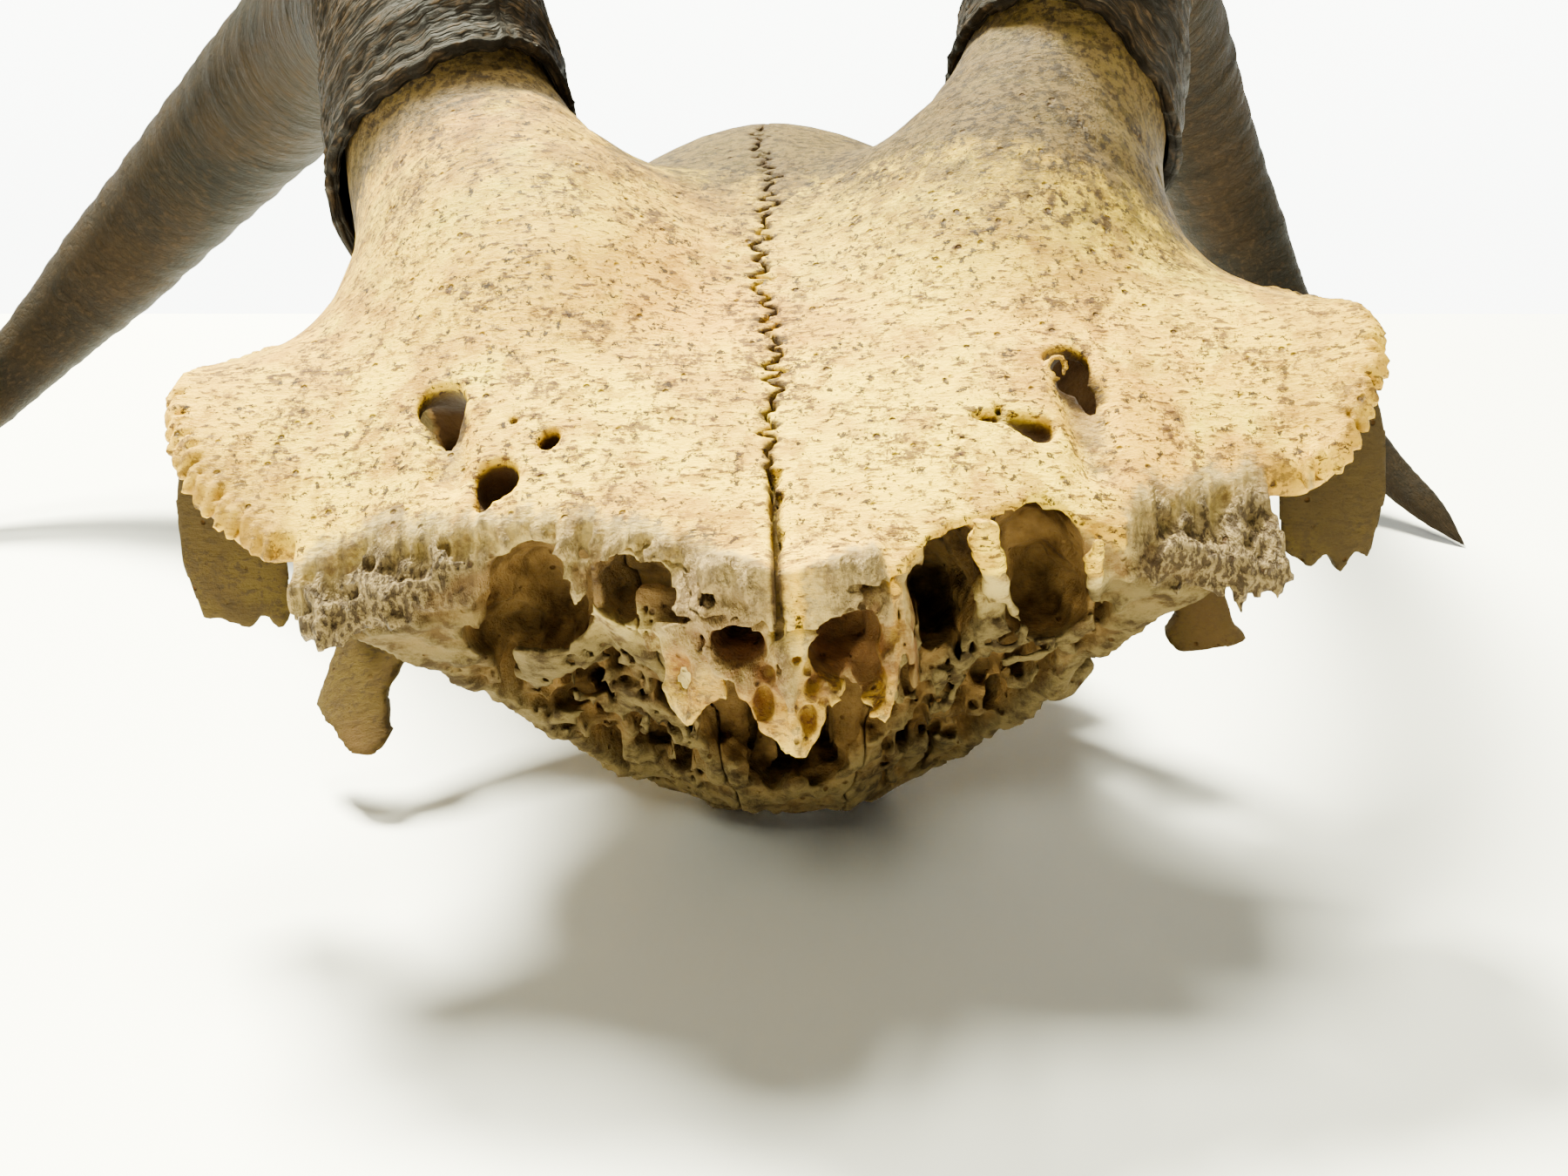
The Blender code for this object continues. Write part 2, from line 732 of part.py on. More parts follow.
def whole_skull(pieces, scraps, group):
    """All the pieces as one smooth closed surface, thinned out and hollowed."""
    bm = bmesh.new()
    for piece in list(pieces.objects):
        bm.from_mesh(piece.data)
        bpy.data.objects.remove(piece)
    whole = closed_version(object_from(bm, "pieces", group), fuse, "skull", group)
    whole = closed_version(whole, thin_out, "skull", group)
    caves(scraps)
    hollows = bmesh.new()
    for cave in list(scraps.objects):
        hollows.from_mesh(cave.data)
        bpy.data.objects.remove(cave)
    bmesh.ops.transform(hollows, matrix=unsettle_matrix(), verts=hollows.verts)
    cutter = object_from(hollows, "caves", scraps)
    whole = largest_pieces(booleaned(whole, "DIFFERENCE", cutter, "skull", group))
    return booleaned(whole, "DIFFERENCE", floor_block(scraps), "skull", group)


def floor_block(group):
    """A block below the resting level, which leaves small flats where the skull rests."""
    bm = bmesh.new()
    bmesh.ops.create_cube(bm, size=2 * BIG)
    bmesh.ops.translate(bm, verts=bm.verts, vec=(0, 0, -BIG))
    return object_from(bm, "floor block", group)


def painted(thing, name, colour, roughness):
    """Gives an object its material."""
    finish = bpy.data.materials.get(name) or bpy.data.materials.new(name)
    finish.use_nodes = True
    shader = finish.node_tree.nodes["Principled BSDF"]
    shader.inputs["Base Color"].default_value = (*colour, 1)
    shader.inputs["Roughness"].default_value = roughness
    shader.inputs["Metallic"].default_value = 0.0
    thing.data.materials.clear()
    thing.data.materials.append(finish)
    thing.data.polygons.foreach_set("use_smooth", [True] * len(thing.data.polygons))
    thing.data.set_sharp_from_angle(angle=SHARP_ANGLE)


def build():
    clear_scene()
    group = collection("goat_skull")
    pieces = collection("pieces")
    scraps = collection("cutters")
    forehead(pieces)
    orbit_block(pieces)
    base(pieces)
    braincase(pieces)
    for side in SIDES.values():
        orbit_wall(side, pieces)
        orbital_rim(side, pieces)
        postorbital_bar(side, pieces)
        pterygoid(side, pieces)
        occipital_parts(side, pieces)
        ear_parts(side, pieces)
    for piece in pieces.objects:
        piece.data.transform(unsettle_matrix())
    for side in SIDES.values():
        pedicle(side, pieces)
    whole = whole_skull(pieces, scraps, group)
    bpy.data.collections.remove(pieces)

    sieve = (SIEVE_TOP, *SIEVE_SIDES, CORONAL, back_of(SPHENOID_TOP))
    temples = {
        name: (squamosal(side), TEMPLE_FRONT, TEMPLE_TOP, LAMBDOID) for name, side in SIDES.items()
    }
    beside = (sieve, *temples.values())
    frontals = bone(whole, "frontals", (CORONAL, back_of(SPHENOID_TOP)), beside, group, scraps)
    for side in SIDES.values():
        frontals = booleaned(frontals, "DIFFERENCE", sheath_room(side, scraps), "frontals", group)
        frontals = booleaned(frontals, "UNION", horn_core(side, scraps), "frontals", group)
    frontals = booleaned(frontals, "DIFFERENCE", suture_blade(scraps), "frontals", group)
    bones = split_frontals(frontals, group)
    roof = (back_of(CORONAL), LAMBDOID, back_of(SPHENOID_TOP))
    floor = (SPHENOID_TOP, LAMBDOID)
    bones.append(bone(whole, "ethmoid", sieve, (), group, scraps))
    bones.append(bone(whole, "parietal", roof, temples.values(), group, scraps))
    bones.append(bone(whole, "sphenoid", floor, temples.values(), group, scraps))
    bones.append(bone(whole, "occipital", (back_of(LAMBDOID),), (), group, scraps))
    for name, side in SIDES.items():
        temple = bone(whole, "temporal_" + name, temples[name], (), group, scraps)
        arch = zygomatic_process(side, scraps)
        arch.data.transform(unsettle_matrix())
        bones.append(booleaned(temple, "UNION", arch, "temporal_" + name, group))
    bpy.data.objects.remove(whole)
    sheaths = []
    for name, side in SIDES.items():
        sheath = horn_sheath(side, "horn_sheath_" + name, group)
        sheaths.append(booleaned(sheath, "DIFFERENCE", floor_block(scraps), sheath.name, group))

    for thing in bones:
        painted(thing, "old bone", (0.72, 0.60, 0.40), 0.62)
    for thing in sheaths:
        painted(thing, "horn", (0.10, 0.078, 0.055), 0.55)
    for thing in bones + sheaths:
        thing.data.transform(Matrix.Translation(-BOX_CENTRE))


build()
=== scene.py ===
import math

import bmesh
import bpy
import numpy as np
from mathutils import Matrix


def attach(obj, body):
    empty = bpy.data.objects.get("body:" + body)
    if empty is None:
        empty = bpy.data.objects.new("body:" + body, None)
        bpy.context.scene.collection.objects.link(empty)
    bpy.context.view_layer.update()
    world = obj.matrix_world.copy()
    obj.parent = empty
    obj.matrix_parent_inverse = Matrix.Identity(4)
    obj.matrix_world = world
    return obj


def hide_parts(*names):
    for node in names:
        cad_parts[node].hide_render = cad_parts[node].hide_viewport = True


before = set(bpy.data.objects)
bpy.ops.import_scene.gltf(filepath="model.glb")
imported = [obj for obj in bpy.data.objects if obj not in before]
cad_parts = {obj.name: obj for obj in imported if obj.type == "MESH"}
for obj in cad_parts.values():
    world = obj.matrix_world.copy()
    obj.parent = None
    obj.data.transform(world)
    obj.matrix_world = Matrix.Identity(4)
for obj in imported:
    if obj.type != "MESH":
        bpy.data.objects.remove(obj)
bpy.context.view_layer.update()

import openvdb
from mathutils import Vector

# The skull as a whole. A goat's braincase is a dozen bones grown together, so it is first shaped as one
# body, upright and in millimetres: X to the animal's left, Y back from the nose's root, Z up. Each bone
# is then cut from it along its sutures. The finished skull lies rolled a little to its right.

ROLL = math.radians(-3.4)
ROLL_HEIGHT = 55.0  # of the axis it rolls about
BOX_CENTRE = np.array((-23.8, 116.0, 0.0))  # of the lying skull's box, at the bottom
MM = 0.001


def settled(points):
    """Points of the upright skull where it lies at rest."""
    x, y, z = np.asarray(points, float).T
    z = z - ROLL_HEIGHT
    across = x * math.cos(ROLL) + z * math.sin(ROLL)
    height = z * math.cos(ROLL) - x * math.sin(ROLL) + ROLL_HEIGHT
    return np.stack((across, y, height), 1) - BOX_CENTRE


def stood_up(points):
    """Points of the lying skull, before it is centred, in the upright skull."""
    x, y, z = np.asarray(points, float).T
    z = z - ROLL_HEIGHT
    across = x * math.cos(ROLL) - z * math.sin(ROLL)
    height = z * math.cos(ROLL) + x * math.sin(ROLL) + ROLL_HEIGHT
    return np.stack((across, y, height), 1)


def smooth_min(a, b, blend):
    """The lesser of two distances, with the crease between them rounded over blend millimetres."""
    share = np.clip(0.5 + 0.5 * (b - a) / blend, 0, 1)
    return b + (a - b) * share - blend * share * (1 - share)


def smooth_max(a, b, blend):
    """The greater of two distances, rounded in the same way."""
    return -smooth_min(-a, -b, blend)


def fade(value, over):
    """A share that rises from 0 to 1 as the value goes from 0 to over."""
    return np.clip(value / over, 0, 1)


def random_field(axes, size, seed):
    """Smooth random values from -1 to 1 at every point of a grid, in blobs of about that size."""
    lattice = np.random.default_rng(seed).uniform(-1, 1, (64, 64, 64)).astype(np.float32)
    for k, blob in enumerate(np.broadcast_to(size, 3)):
        place = axes[k].ravel() / blob
        cell = np.floor(place).astype(int)
        share = (place - cell).astype(np.float32)
        share = share * share * (3 - 2 * share)
        share = share.reshape([-1 if i == k else 1 for i in range(3)])
        near = np.take(lattice, cell % 64, axis=k)
        lattice = near + (np.take(lattice, (cell + 1) % 64, axis=k) - near) * share
    return lattice


class Clay:
    """Distances to a bone's surface, below zero inside, on a grid of points."""

    def __init__(self, low, high, step):
        self.step = step
        self.axes = [np.arange(a, b + step, step, dtype=np.float32) for a, b in zip(low, high)]
        self.depth = np.full([len(axis) for axis in self.axes], 30, np.float32)
        self.grid = np.meshgrid(*self.axes, indexing="ij", sparse=True)

    def window(self, low, high):
        cut = tuple(slice(*np.searchsorted(axis, (a, b))) for axis, a, b in zip(self.axes, low, high))
        return cut, np.meshgrid(*(axis[c] for axis, c in zip(self.axes, cut)), indexing="ij", sparse=True)

    def add(self, shape, blend=1.0):
        """Joins a shape on, with its crease filled over blend millimetres."""
        low, high, distance = shape
        cut, grid = self.window(np.subtract(low, blend + 3), np.add(high, blend + 3))
        if self.depth[cut].size:
            self.depth[cut] = smooth_min(self.depth[cut], distance(*grid), blend)

    def carve(self, shape, blend=0.5):
        """Hollows a shape out, with its rim rounded over blend millimetres."""
        low, high, distance = shape
        cut, grid = self.window(np.subtract(low, blend + 1), np.add(high, blend + 1))
        if self.depth[cut].size:
            self.depth[cut] = smooth_max(self.depth[cut], -distance(*grid), blend)

    def mesh(self, name, shares):
        """A piece of the surface, with the values of shares(points) kept on its points by name."""
        held = openvdb.FloatGrid(3 * self.step)
        held.copyFromArray(np.clip(self.depth, -3 * self.step, 3 * self.step))
        points, triangles, quads = held.convertToPolygons(0.0, 0.02)
        points = points * self.step + np.array([axis[0] for axis in self.axes])
        points, triangles, quads = largest_body(points, triangles, quads)
        return mesh_object(name, points, triangles[:, ::-1], quads[:, ::-1], shares(*points.T))


def largest_body(points, triangles, quads):
    """The same mesh without the loose crumbs around its main body."""
    ends = [quads[:, [k, (k + 1) % 4]] for k in range(4)] + [triangles[:, [k, (k + 1) % 3]] for k in range(3)]
    ends = np.vstack(ends)
    label = np.arange(len(points))
    while True:
        least = np.minimum(label[ends[:, 0]], label[ends[:, 1]])
        fresh = label.copy()
        np.minimum.at(fresh, ends[:, 0], least)
        np.minimum.at(fresh, ends[:, 1], least)
        fresh = fresh[fresh]
        if (fresh == label).all():
            break
        label = fresh
    keep = label == np.bincount(label).argmax()
    place = np.cumsum(keep) - 1
    return points[keep], place[triangles[keep[triangles].all(1)]], place[quads[keep[quads].all(1)]]


def mesh_object(name, points, triangles, quads, shares):
    """A smooth mesh of the lying skull from points of the upright one, in millimetres."""
    mesh = bpy.data.meshes.new(name)
    points = settled(points) * MM
    mesh.vertices.add(len(points))
    mesh.vertices.foreach_set("co", points.astype(np.float32).ravel())
    corners = np.concatenate([triangles.ravel(), quads.ravel()]).astype(np.int32)
    mesh.loops.add(len(corners))
    mesh.loops.foreach_set("vertex_index", corners)
    mesh.polygons.add(len(triangles) + len(quads))
    starts = np.concatenate([np.arange(len(triangles)) * 3, 3 * len(triangles) + np.arange(len(quads)) * 4])
    mesh.polygons.foreach_set("loop_start", starts.astype(np.int32))
    mesh.polygons.foreach_set("use_smooth", np.ones(len(starts), bool))
    mesh.update(calc_edges=True)
    for share, values in shares.items():
        layer = mesh.attributes.new(share, "FLOAT", "POINT")
        layer.data.foreach_set("value", np.clip(values, 0, 1).astype(np.float32))
    made = bpy.data.objects.new(name, mesh)
    bpy.context.scene.collection.objects.link(made)
    return made


def egg(centre, radii, pitch=0.0):
    """An egg of three radii whose middle axis rises pitch degrees towards the back."""
    cos, sin = math.cos(math.radians(pitch)), math.sin(math.radians(pitch))
    reach = np.array(radii) if not pitch else np.array((radii[0], max(radii[1:]), max(radii[1:])))

    def distance(x, y, z):
        x, y, z = x - centre[0], y - centre[1], z - centre[2]
        y, z = y * cos + z * sin, z * cos - y * sin
        ratio = np.sqrt((x / radii[0]) ** 2 + (y / radii[1]) ** 2 + (z / radii[2]) ** 2)
        steep = np.sqrt((x / radii[0] ** 2) ** 2 + (y / radii[1] ** 2) ** 2 + (z / radii[2] ** 2) ** 2)
        return ratio * (ratio - 1) / np.maximum(steep, 1e-4)

    return centre - reach, centre + reach, distance


def bar(points, radii):
    """A round bar through points, each with its own radius."""
    points = np.array(points, float)
    radii = np.broadcast_to(radii, len(points))

    def distance(x, y, z):
        best = 1e3
        for start, end, thick, thin in zip(points, points[1:], radii, radii[1:]):
            way = end - start
            along = (x - start[0]) * way[0] + (y - start[1]) * way[1] + (z - start[2]) * way[2]
            along = np.clip(along / (way @ way), 0, 1)
            off = (x - start[0] - along * way[0]) ** 2 + (y - start[1] - along * way[1]) ** 2
            off = np.sqrt(off + (z - start[2] - along * way[2]) ** 2)
            best = np.minimum(best, off - thick - (thin - thick) * along)
        return best

    return points.min(0) - max(radii), points.max(0) + max(radii), distance


def blade(stations, torn=0.0, seed=1):
    """An upright flat bar through stations (x, y, z, half width, half depth), highest first."""
    stations = np.array(stations, float)[::-1]
    z_at = stations[:, 2]
    reach = stations[:, 3:5].max(0)

    def distance(x, y, z):
        cx, cy, wide, deep = (np.interp(z, z_at, stations[:, k]) for k in (0, 1, 3, 4))
        ratio = np.sqrt(((x - cx) / wide) ** 2 + ((y - cy) / deep) ** 2)
        side = (ratio - 1) * np.minimum(wide, deep)
        foot = z_at[0] - z
        if torn:
            foot = foot + torn * random_field((x, y, z), (1.7, 30, 30), seed)
        return smooth_max(smooth_max(side, foot, 0.5), z - z_at[-1], 0.5)

    low = (stations[:, :3] - [*reach, 0]).min(0) - [0, 0, 2]
    high = (stations[:, :3] + [*reach, 0]).max(0)
    return low, high, distance


def half_space(point, normal):
    """Distance beyond a plane."""
    normal = np.array(normal, float) / np.linalg.norm(normal)
    return lambda *place: sum((c - start) * lean for c, start, lean in zip(place, point, normal))


def polygon_distance(a, b, corners):
    """Distance outside a closed outline in the plane of a and b."""
    corners = [tuple(corner) for corner in corners]
    best = np.float32(1e6)
    inside = np.zeros(np.broadcast_shapes(a.shape, b.shape), bool)
    for (ax, ay), (bx, by) in zip(corners, corners[1:] + corners[:1]):
        share = ((a - ax) * (bx - ax) + (b - ay) * (by - ay)) / max((bx - ax) ** 2 + (by - ay) ** 2, 1e-9)
        share = np.clip(share, 0, 1)
        best = np.minimum(best, (a - ax - share * (bx - ax)) ** 2 + (b - ay - share * (by - ay)) ** 2)
        if ay != by:
            inside ^= ((ay > b) != (by > b)) & (a < (bx - ax) * (b - ay) / (by - ay) + ax)
    return np.where(inside, -1, 1) * np.sqrt(best)


def leaf(corners, front, thick=0.8, lean=(0.0, 0.0), bulge=(0.0, 0.0), torn=0.35, seed=7):
    """A plate that faces forward, with an outline of (x, z) corners. Its front face is at depth front in
    the middle, leans back by so much a millimetre in x and z, and bulges."""
    corners = np.array(corners, float)
    middle = corners.mean(0)
    slope = math.sqrt(1 + lean[0] ** 2 + lean[1] ** 2)

    def face(x, z):
        x, z = x - middle[0], z - middle[1]
        return front + lean[0] * x + lean[1] * z + bulge[0] * x**2 + bulge[1] * z**2

    def distance(x, y, z):
        edge = polygon_distance(x, z, corners) + torn * random_field((x, y, z), (1.2, 9, 1.2), seed)
        return smooth_max(np.abs(y - face(x, z) - thick / 2 * slope) / slope - thick / 2, edge, 0.3)

    depths = face(*corners.T)
    low = (*corners.min(0)[:1], min(depths.min(), front) - 0.5, corners.min(0)[1])
    high = (*corners.max(0)[:1], max(depths.max(), front) + thick * slope + 0.5, corners.max(0)[1])
    return low, high, distance


def curtain(points, front, deep, thick=0.8, lean=(0.0, 0.0), rise=0.0, torn=0.4, seed=9):
    """A thin wall that runs back from its torn front edge. That edge follows (x, z) points, highest first,
    from depth front back by rise a millimetre down, and the wall moves aside by lean a millimetre back."""
    points = np.array(points, float)
    top = points[:, 1].max()
    drop = rise * (top - points[:, 1].min())

    def distance(x, y, z):
        behind = y - front - rise * (top - z)
        px, pz = x - lean[0] * behind, z - lean[1] * behind
        best = np.float32(1e6)
        for (ax, az), (bx, bz) in zip(points, points[1:]):
            share = (px - ax) * (bx - ax) + (pz - az) * (bz - az)
            share = np.clip(share / ((bx - ax) ** 2 + (bz - az) ** 2), 0, 1)
            best = np.minimum(best, (px - ax - share * (bx - ax)) ** 2 + (pz - az - share * (bz - az)) ** 2)
        wall = np.maximum(np.sqrt(best) - thick / 2, behind - deep)
        return smooth_max(wall, torn * random_field((x, y, z), (3, 3, 1.3), seed) - behind, 0.3)

    spread = np.abs(lean) * deep
    low = (points[:, 0].min() - spread[0] - thick, front - 1, points[:, 1].min() - spread[1] - thick)
    high = (points[:, 0].max() + spread[0] + thick, front + drop + deep + 1, top + spread[1] + thick)
    return low, high, distance


# The forehead. The two frontal bones are broken off at the nasal and tear bones' sutures in front, and end
# at the sides in the eye sockets' thick crimped rims. Dry cream bone, 2 to 7 mm thick.

FOREHEAD_POINTS = (
    (0, 0, 47), (0, 20, 58), (0, 40, 68.5), (0, 60, 78.5), (0, 70, 81.8), (0, 84, 83.5),
    (17, 8, 51), (24, 16, 55.5), (30, 27, 62.5), (30, 45, 71.5), (30, 60, 79.5), (18, 80, 79.5), (30, 84, 75),
    (45, 13, 45.5), (54, 18, 50.5), (60, 25, 59), (60.5, 34, 65), (61, 43, 64.5),
    (56, 50, 65.5), (48, 58, 69.5), (44, 28, 60.5), (45, 42, 68), (44, 84, 66),
)
# The plate's outline in plan, from the nasion round each side to behind the horn.
RIGHT_EDGE = (
    (0, 0.6), (2.5, 2.4), (4.5, 3.8), (7.5, 6.6), (9.5, 8.6), (13.0, 9.6), (17.0, 10.2), (18.4, 9.0),
    (19.3, 9.2), (20, 11.6), (23.5, 13.0), (25, 12.0), (28, 12.2), (32.5, 12.2), (38, 12.4), (44.6, 13.4),
    (46.2, 15.5), (46.3, 19.6), (48.6, 19.4), (52.9, 21.2), (56.8, 23.6), (59.8, 28), (61.2, 34), (61.8, 41),
    (60.5, 47), (57, 51), (53, 54.5), (47.5, 60), (44, 72), (40, 84), (0, 84),
)
LEFT_EDGE = (
    (0, 0.6), (3, 2.2), (5.5, 3.2), (8.5, 4.4), (10.5, 5.2), (12.5, 6.8), (14.5, 9.0), (17.5, 10.8),
    (20.5, 11.6), (22.5, 12.4), (24.2, 13.6), (25.8, 13.2), (27.6, 12.2), (31, 12.4), (33.5, 12.8),
    (41, 13.0), (47.4, 13.2), (47.6, 15.5), (47.3, 20.2), (50.9, 20.4), (54.0, 21.2), (55.8, 22.2),
    (57.8, 24.4), (60.3, 27.8), (61.8, 34), (62.2, 41), (61, 47), (57, 51), (53, 54.5), (47.5, 60), (44, 72),
    (40, 84), (0, 84),
)
# How far back the grey fluted suture face reaches, by x
GREY_X = (
    -47, -43, -37, -33.5, -30, -21.5, -11.5, -7.5, -3.5, -1.5, 2, 4.5, 6.5, 9.5, 11, 31, 32.5, 35, 39, 46, 49
)
GREY_Y = (17, 17.7, 18, 16.5, 15.5, 13.6, 11, 9.5, 6.5, 3, 0, 1.5, 5.4, 5.8, 0, 0, 14, 16.5, 18.5, 20, 18)
OUTER_TABLE = 2.3  # thickness of the plate over the sinuses


def plate_spline(points):
    """A thin plate spline through (a, b, value) points, as a function of a and b."""
    known = np.array(points, float)

    def bend(a, b):
        apart = (a[..., None] - known[:, 0]) ** 2 + (b[..., None] - known[:, 1]) ** 2
        return 0.5 * apart * np.log(np.maximum(apart, 1e-9))

    flat = np.column_stack([np.ones(len(known)), known[:, :2]])
    square = bend(known[:, 0], known[:, 1]) + 2.0 * np.eye(len(known))
    system = np.block([[square, flat], [flat.T, np.zeros((3, 3))]])
    weights = np.linalg.solve(system, np.concatenate([known[:, 2], np.zeros(3)]))

    def value(a, b):
        a, b = np.broadcast_arrays(np.asarray(a, float), np.asarray(b, float))
        return bend(a, b) @ weights[:-3] + weights[-3] + weights[-2] * a + weights[-1] * b

    return value


forehead_height = plate_spline(FOREHEAD_POINTS + tuple((-x, y, z) for x, y, z in FOREHEAD_POINTS if x))


def outline_distance(x, y):
    """Distance outside the forehead's outline in plan."""
    return polygon_distance(x, y, [(-a, b) for a, b in RIGHT_EDGE] + list(LEFT_EDGE[-2::-1]))


# Half width of the eye sockets' inner wall at (y, z), down to the broken palate.
SOCKET_POINTS = (
    (13, 45, 44.5), (20, 37, 36.6), (26, 31.5, 31.8), (36, 21.6, 26.2), (44, 14, 21.8), (56, 3.6, 15.5),
    (17, 51, 38.5), (22, 55, 33), (32, 60, 28.5), (44, 66, 27.5), (56, 71, 28), (32, 45, 28.5),
    (44, 40, 25.5), (60, 40, 24), (60, 20, 17), (74, 30, 22), (74, 60, 29),
)
socket_wall = plate_spline(SOCKET_POINTS)


def break_depth(x, y, z):
    """Distance behind the slanting break, which lies further forward near the midline."""
    place = np.interp(np.abs(x), (0, 5, 9, 13, 17), (34.4, 35.0, 36.6, 39.0, 41.2))
    return 0.70 * y + 0.714 * z - place


def on_break(x, z, deep):
    """The place at x and z that lies so deep behind the slanting break."""
    return np.array((x, (deep - float(break_depth(x, 0, z))) / 0.70, z))


# The sinuses' caves under the plate: x and z of the middle, depth behind the break, and three radii.
SINUSES = (
    ((-23.2, 42.6), 1.2, (5.4, 11, 8.4)), ((-21.6, 48.0), 2.0, (5.0, 12, 5.0)),
    ((-26.4, 40.0), 1.5, (3.2, 9, 4.6)), ((-12.6, 48.2), 2.0, (4.9, 10, 4.0)),
    ((-8.8, 48.8), 1.5, (2.4, 7, 2.4)), ((15.6, 48.2), 3.4, (2.9, 18, 4.6)),
    ((15.4, 42.0), 3.6, (4.1, 19, 5.8)), ((12.8, 44.4), 3.4, (2.0, 14, 4.0)),
    ((24.2, 48.6), 2.2, (5.0, 13, 5.4)), ((26.0, 42.4), 2.2, (4.5, 12, 5.8)),
    ((22.6, 51.0), 1.5, (3.0, 9, 3.0)),
)


def zigzag(y):
    """Where the suture between the frontal bones runs, across the midline."""
    y = np.asarray(y, float)
    teeth = np.abs((y / 2.3 + 0.13 * np.sin(y * 1.7)) % 1 - 0.5) * 4 - 1
    small = np.abs((y / 0.83 + 0.2 * np.sin(y * 2.9)) % 1 - 0.5) * 4 - 1
    calm = np.interp(y, (6, 13, 20, 30, 62, 84), (0.03, 0.12, 0.6, 1.0, 1.0, 0.7))
    sway = 0.7 * np.sin(y * 0.21 + 1.1)
    return calm * (1.45 * teeth * (0.75 + 0.35 * np.sin(y * 0.9)) + 0.42 * small + sway) + 0.3


# The horns' middle lines where the skull lies at rest, as five Bezier handles each, and their oval sections.
HORN_HANDLES = {
    -1: (
        (-40.2, 79, 80), (-54, 110.8, 113.7), (-55.6, 204.9, 137.3), (-159.4, 248.1, 43.5),
        (-187.4, 160.2, 2.2),
    ),
    1: ((36.4, 81, 87), (45.2, 101, 114.4), (45.3, 196.3, 204.8), (97.3, 275.4, 31.4), (140.6, 172.2, 2.2)),
}
HORN_STEPS = 240
BEND_REACH = 40  # steps each way from which the bend's plane is taken
SHEATH_IN_PLANE = 20.5  # radii at the root, in the bend's plane and across it
SHEATH_ACROSS = 15.3
SHEATH_TIP = 2.6
SHEATH_TAPER = 0.4
CORE_INSET = 2.8  # of the core's skin inside the sheath's


def horn_line(side):
    """Evenly spaced points along a horn's middle line, with its forward, front and side directions."""
    handles = np.array(HORN_HANDLES[side], float)
    t = np.linspace(0, 1, HORN_STEPS + 1)[:, None]
    rough = sum(math.comb(4, k) * t**k * (1 - t) ** (4 - k) * handles[k] for k in range(5))
    steps = np.concatenate([[0], np.cumsum(np.linalg.norm(np.diff(rough, axis=0), axis=1))])
    even = np.linspace(0, steps[-1], HORN_STEPS + 1)
    line = np.stack([np.interp(even, steps, rough[:, k]) for k in range(3)], 1)
    ahead = np.array([line[min(i + 3, HORN_STEPS)] - line[max(i - 3, 0)] for i in range(HORN_STEPS + 1)])
    ahead /= np.linalg.norm(ahead, axis=1)[:, None]
    middle = np.clip(np.arange(HORN_STEPS + 1), BEND_REACH, HORN_STEPS - BEND_REACH)
    bend = np.cross(line[middle + BEND_REACH] - line[middle], line[middle - BEND_REACH] - line[middle])
    front = np.cross(ahead, bend)
    front /= np.linalg.norm(front, axis=1)[:, None]
    return line, ahead, front, np.cross(ahead, front), steps[-1]


def core_shape(side):
    """The horn core and its flared root, as a shape of the upright skull."""
    line, ahead, front, across, length = horn_line(side)
    stations = []
    for back, grow in ((34, 7), (27, 6.5), (20, 4.6), (13, 2.4), (6, 0.8), (0, 0.1), (-8, -0.3), (-18, -1.2)):
        centre = line[0] - ahead[3] * back
        if back < 0:
            centre = line[int(-back / length * HORN_STEPS)]
        centre = centre - np.array((side * 0.10 * max(back, 0), 0, 0))
        tall = SHEATH_IN_PLANE - CORE_INSET + grow
        stations.append((centre, tall, SHEATH_ACROSS - 0.7 * CORE_INSET + grow))
    turn = stood_up(np.array([front[0], across[0], np.zeros(3)]))
    turn = turn[:2] - turn[2]
    centres = stood_up(np.array([s[0] for s in stations]))

    def distance(x, y, z):
        best = np.float32(1e3)
        for k in range(len(stations) - 1):
            start, end = centres[k], centres[k + 1]
            way = end - start
            along = (x - start[0]) * way[0] + (y - start[1]) * way[1] + (z - start[2]) * way[2]
            along = np.clip(along / (way @ way), 0, 1)
            off = [(c - start[i] - along * way[i]) for i, c in enumerate((x, y, z))]
            tall = stations[k][1] + (stations[k + 1][1] - stations[k][1]) * along
            wide = stations[k][2] + (stations[k + 1][2] - stations[k][2]) * along
            a = (off[0] * turn[0][0] + off[1] * turn[0][1] + off[2] * turn[0][2]) / tall
            b = (off[0] * turn[1][0] + off[1] * turn[1][1] + off[2] * turn[1][2]) / wide
            length_way = np.sqrt(way @ way)
            c = (off[0] * way[0] + off[1] * way[1] + off[2] * way[2]) / length_way / wide
            best = np.minimum(best, (np.sqrt(a * a + b * b + c * c) - 1) * np.minimum(tall, wide))
        return best

    return centres.min(0) - 28, centres.max(0) + 28, distance


CRIMP_PITCH = 1.35  # from rib to rib


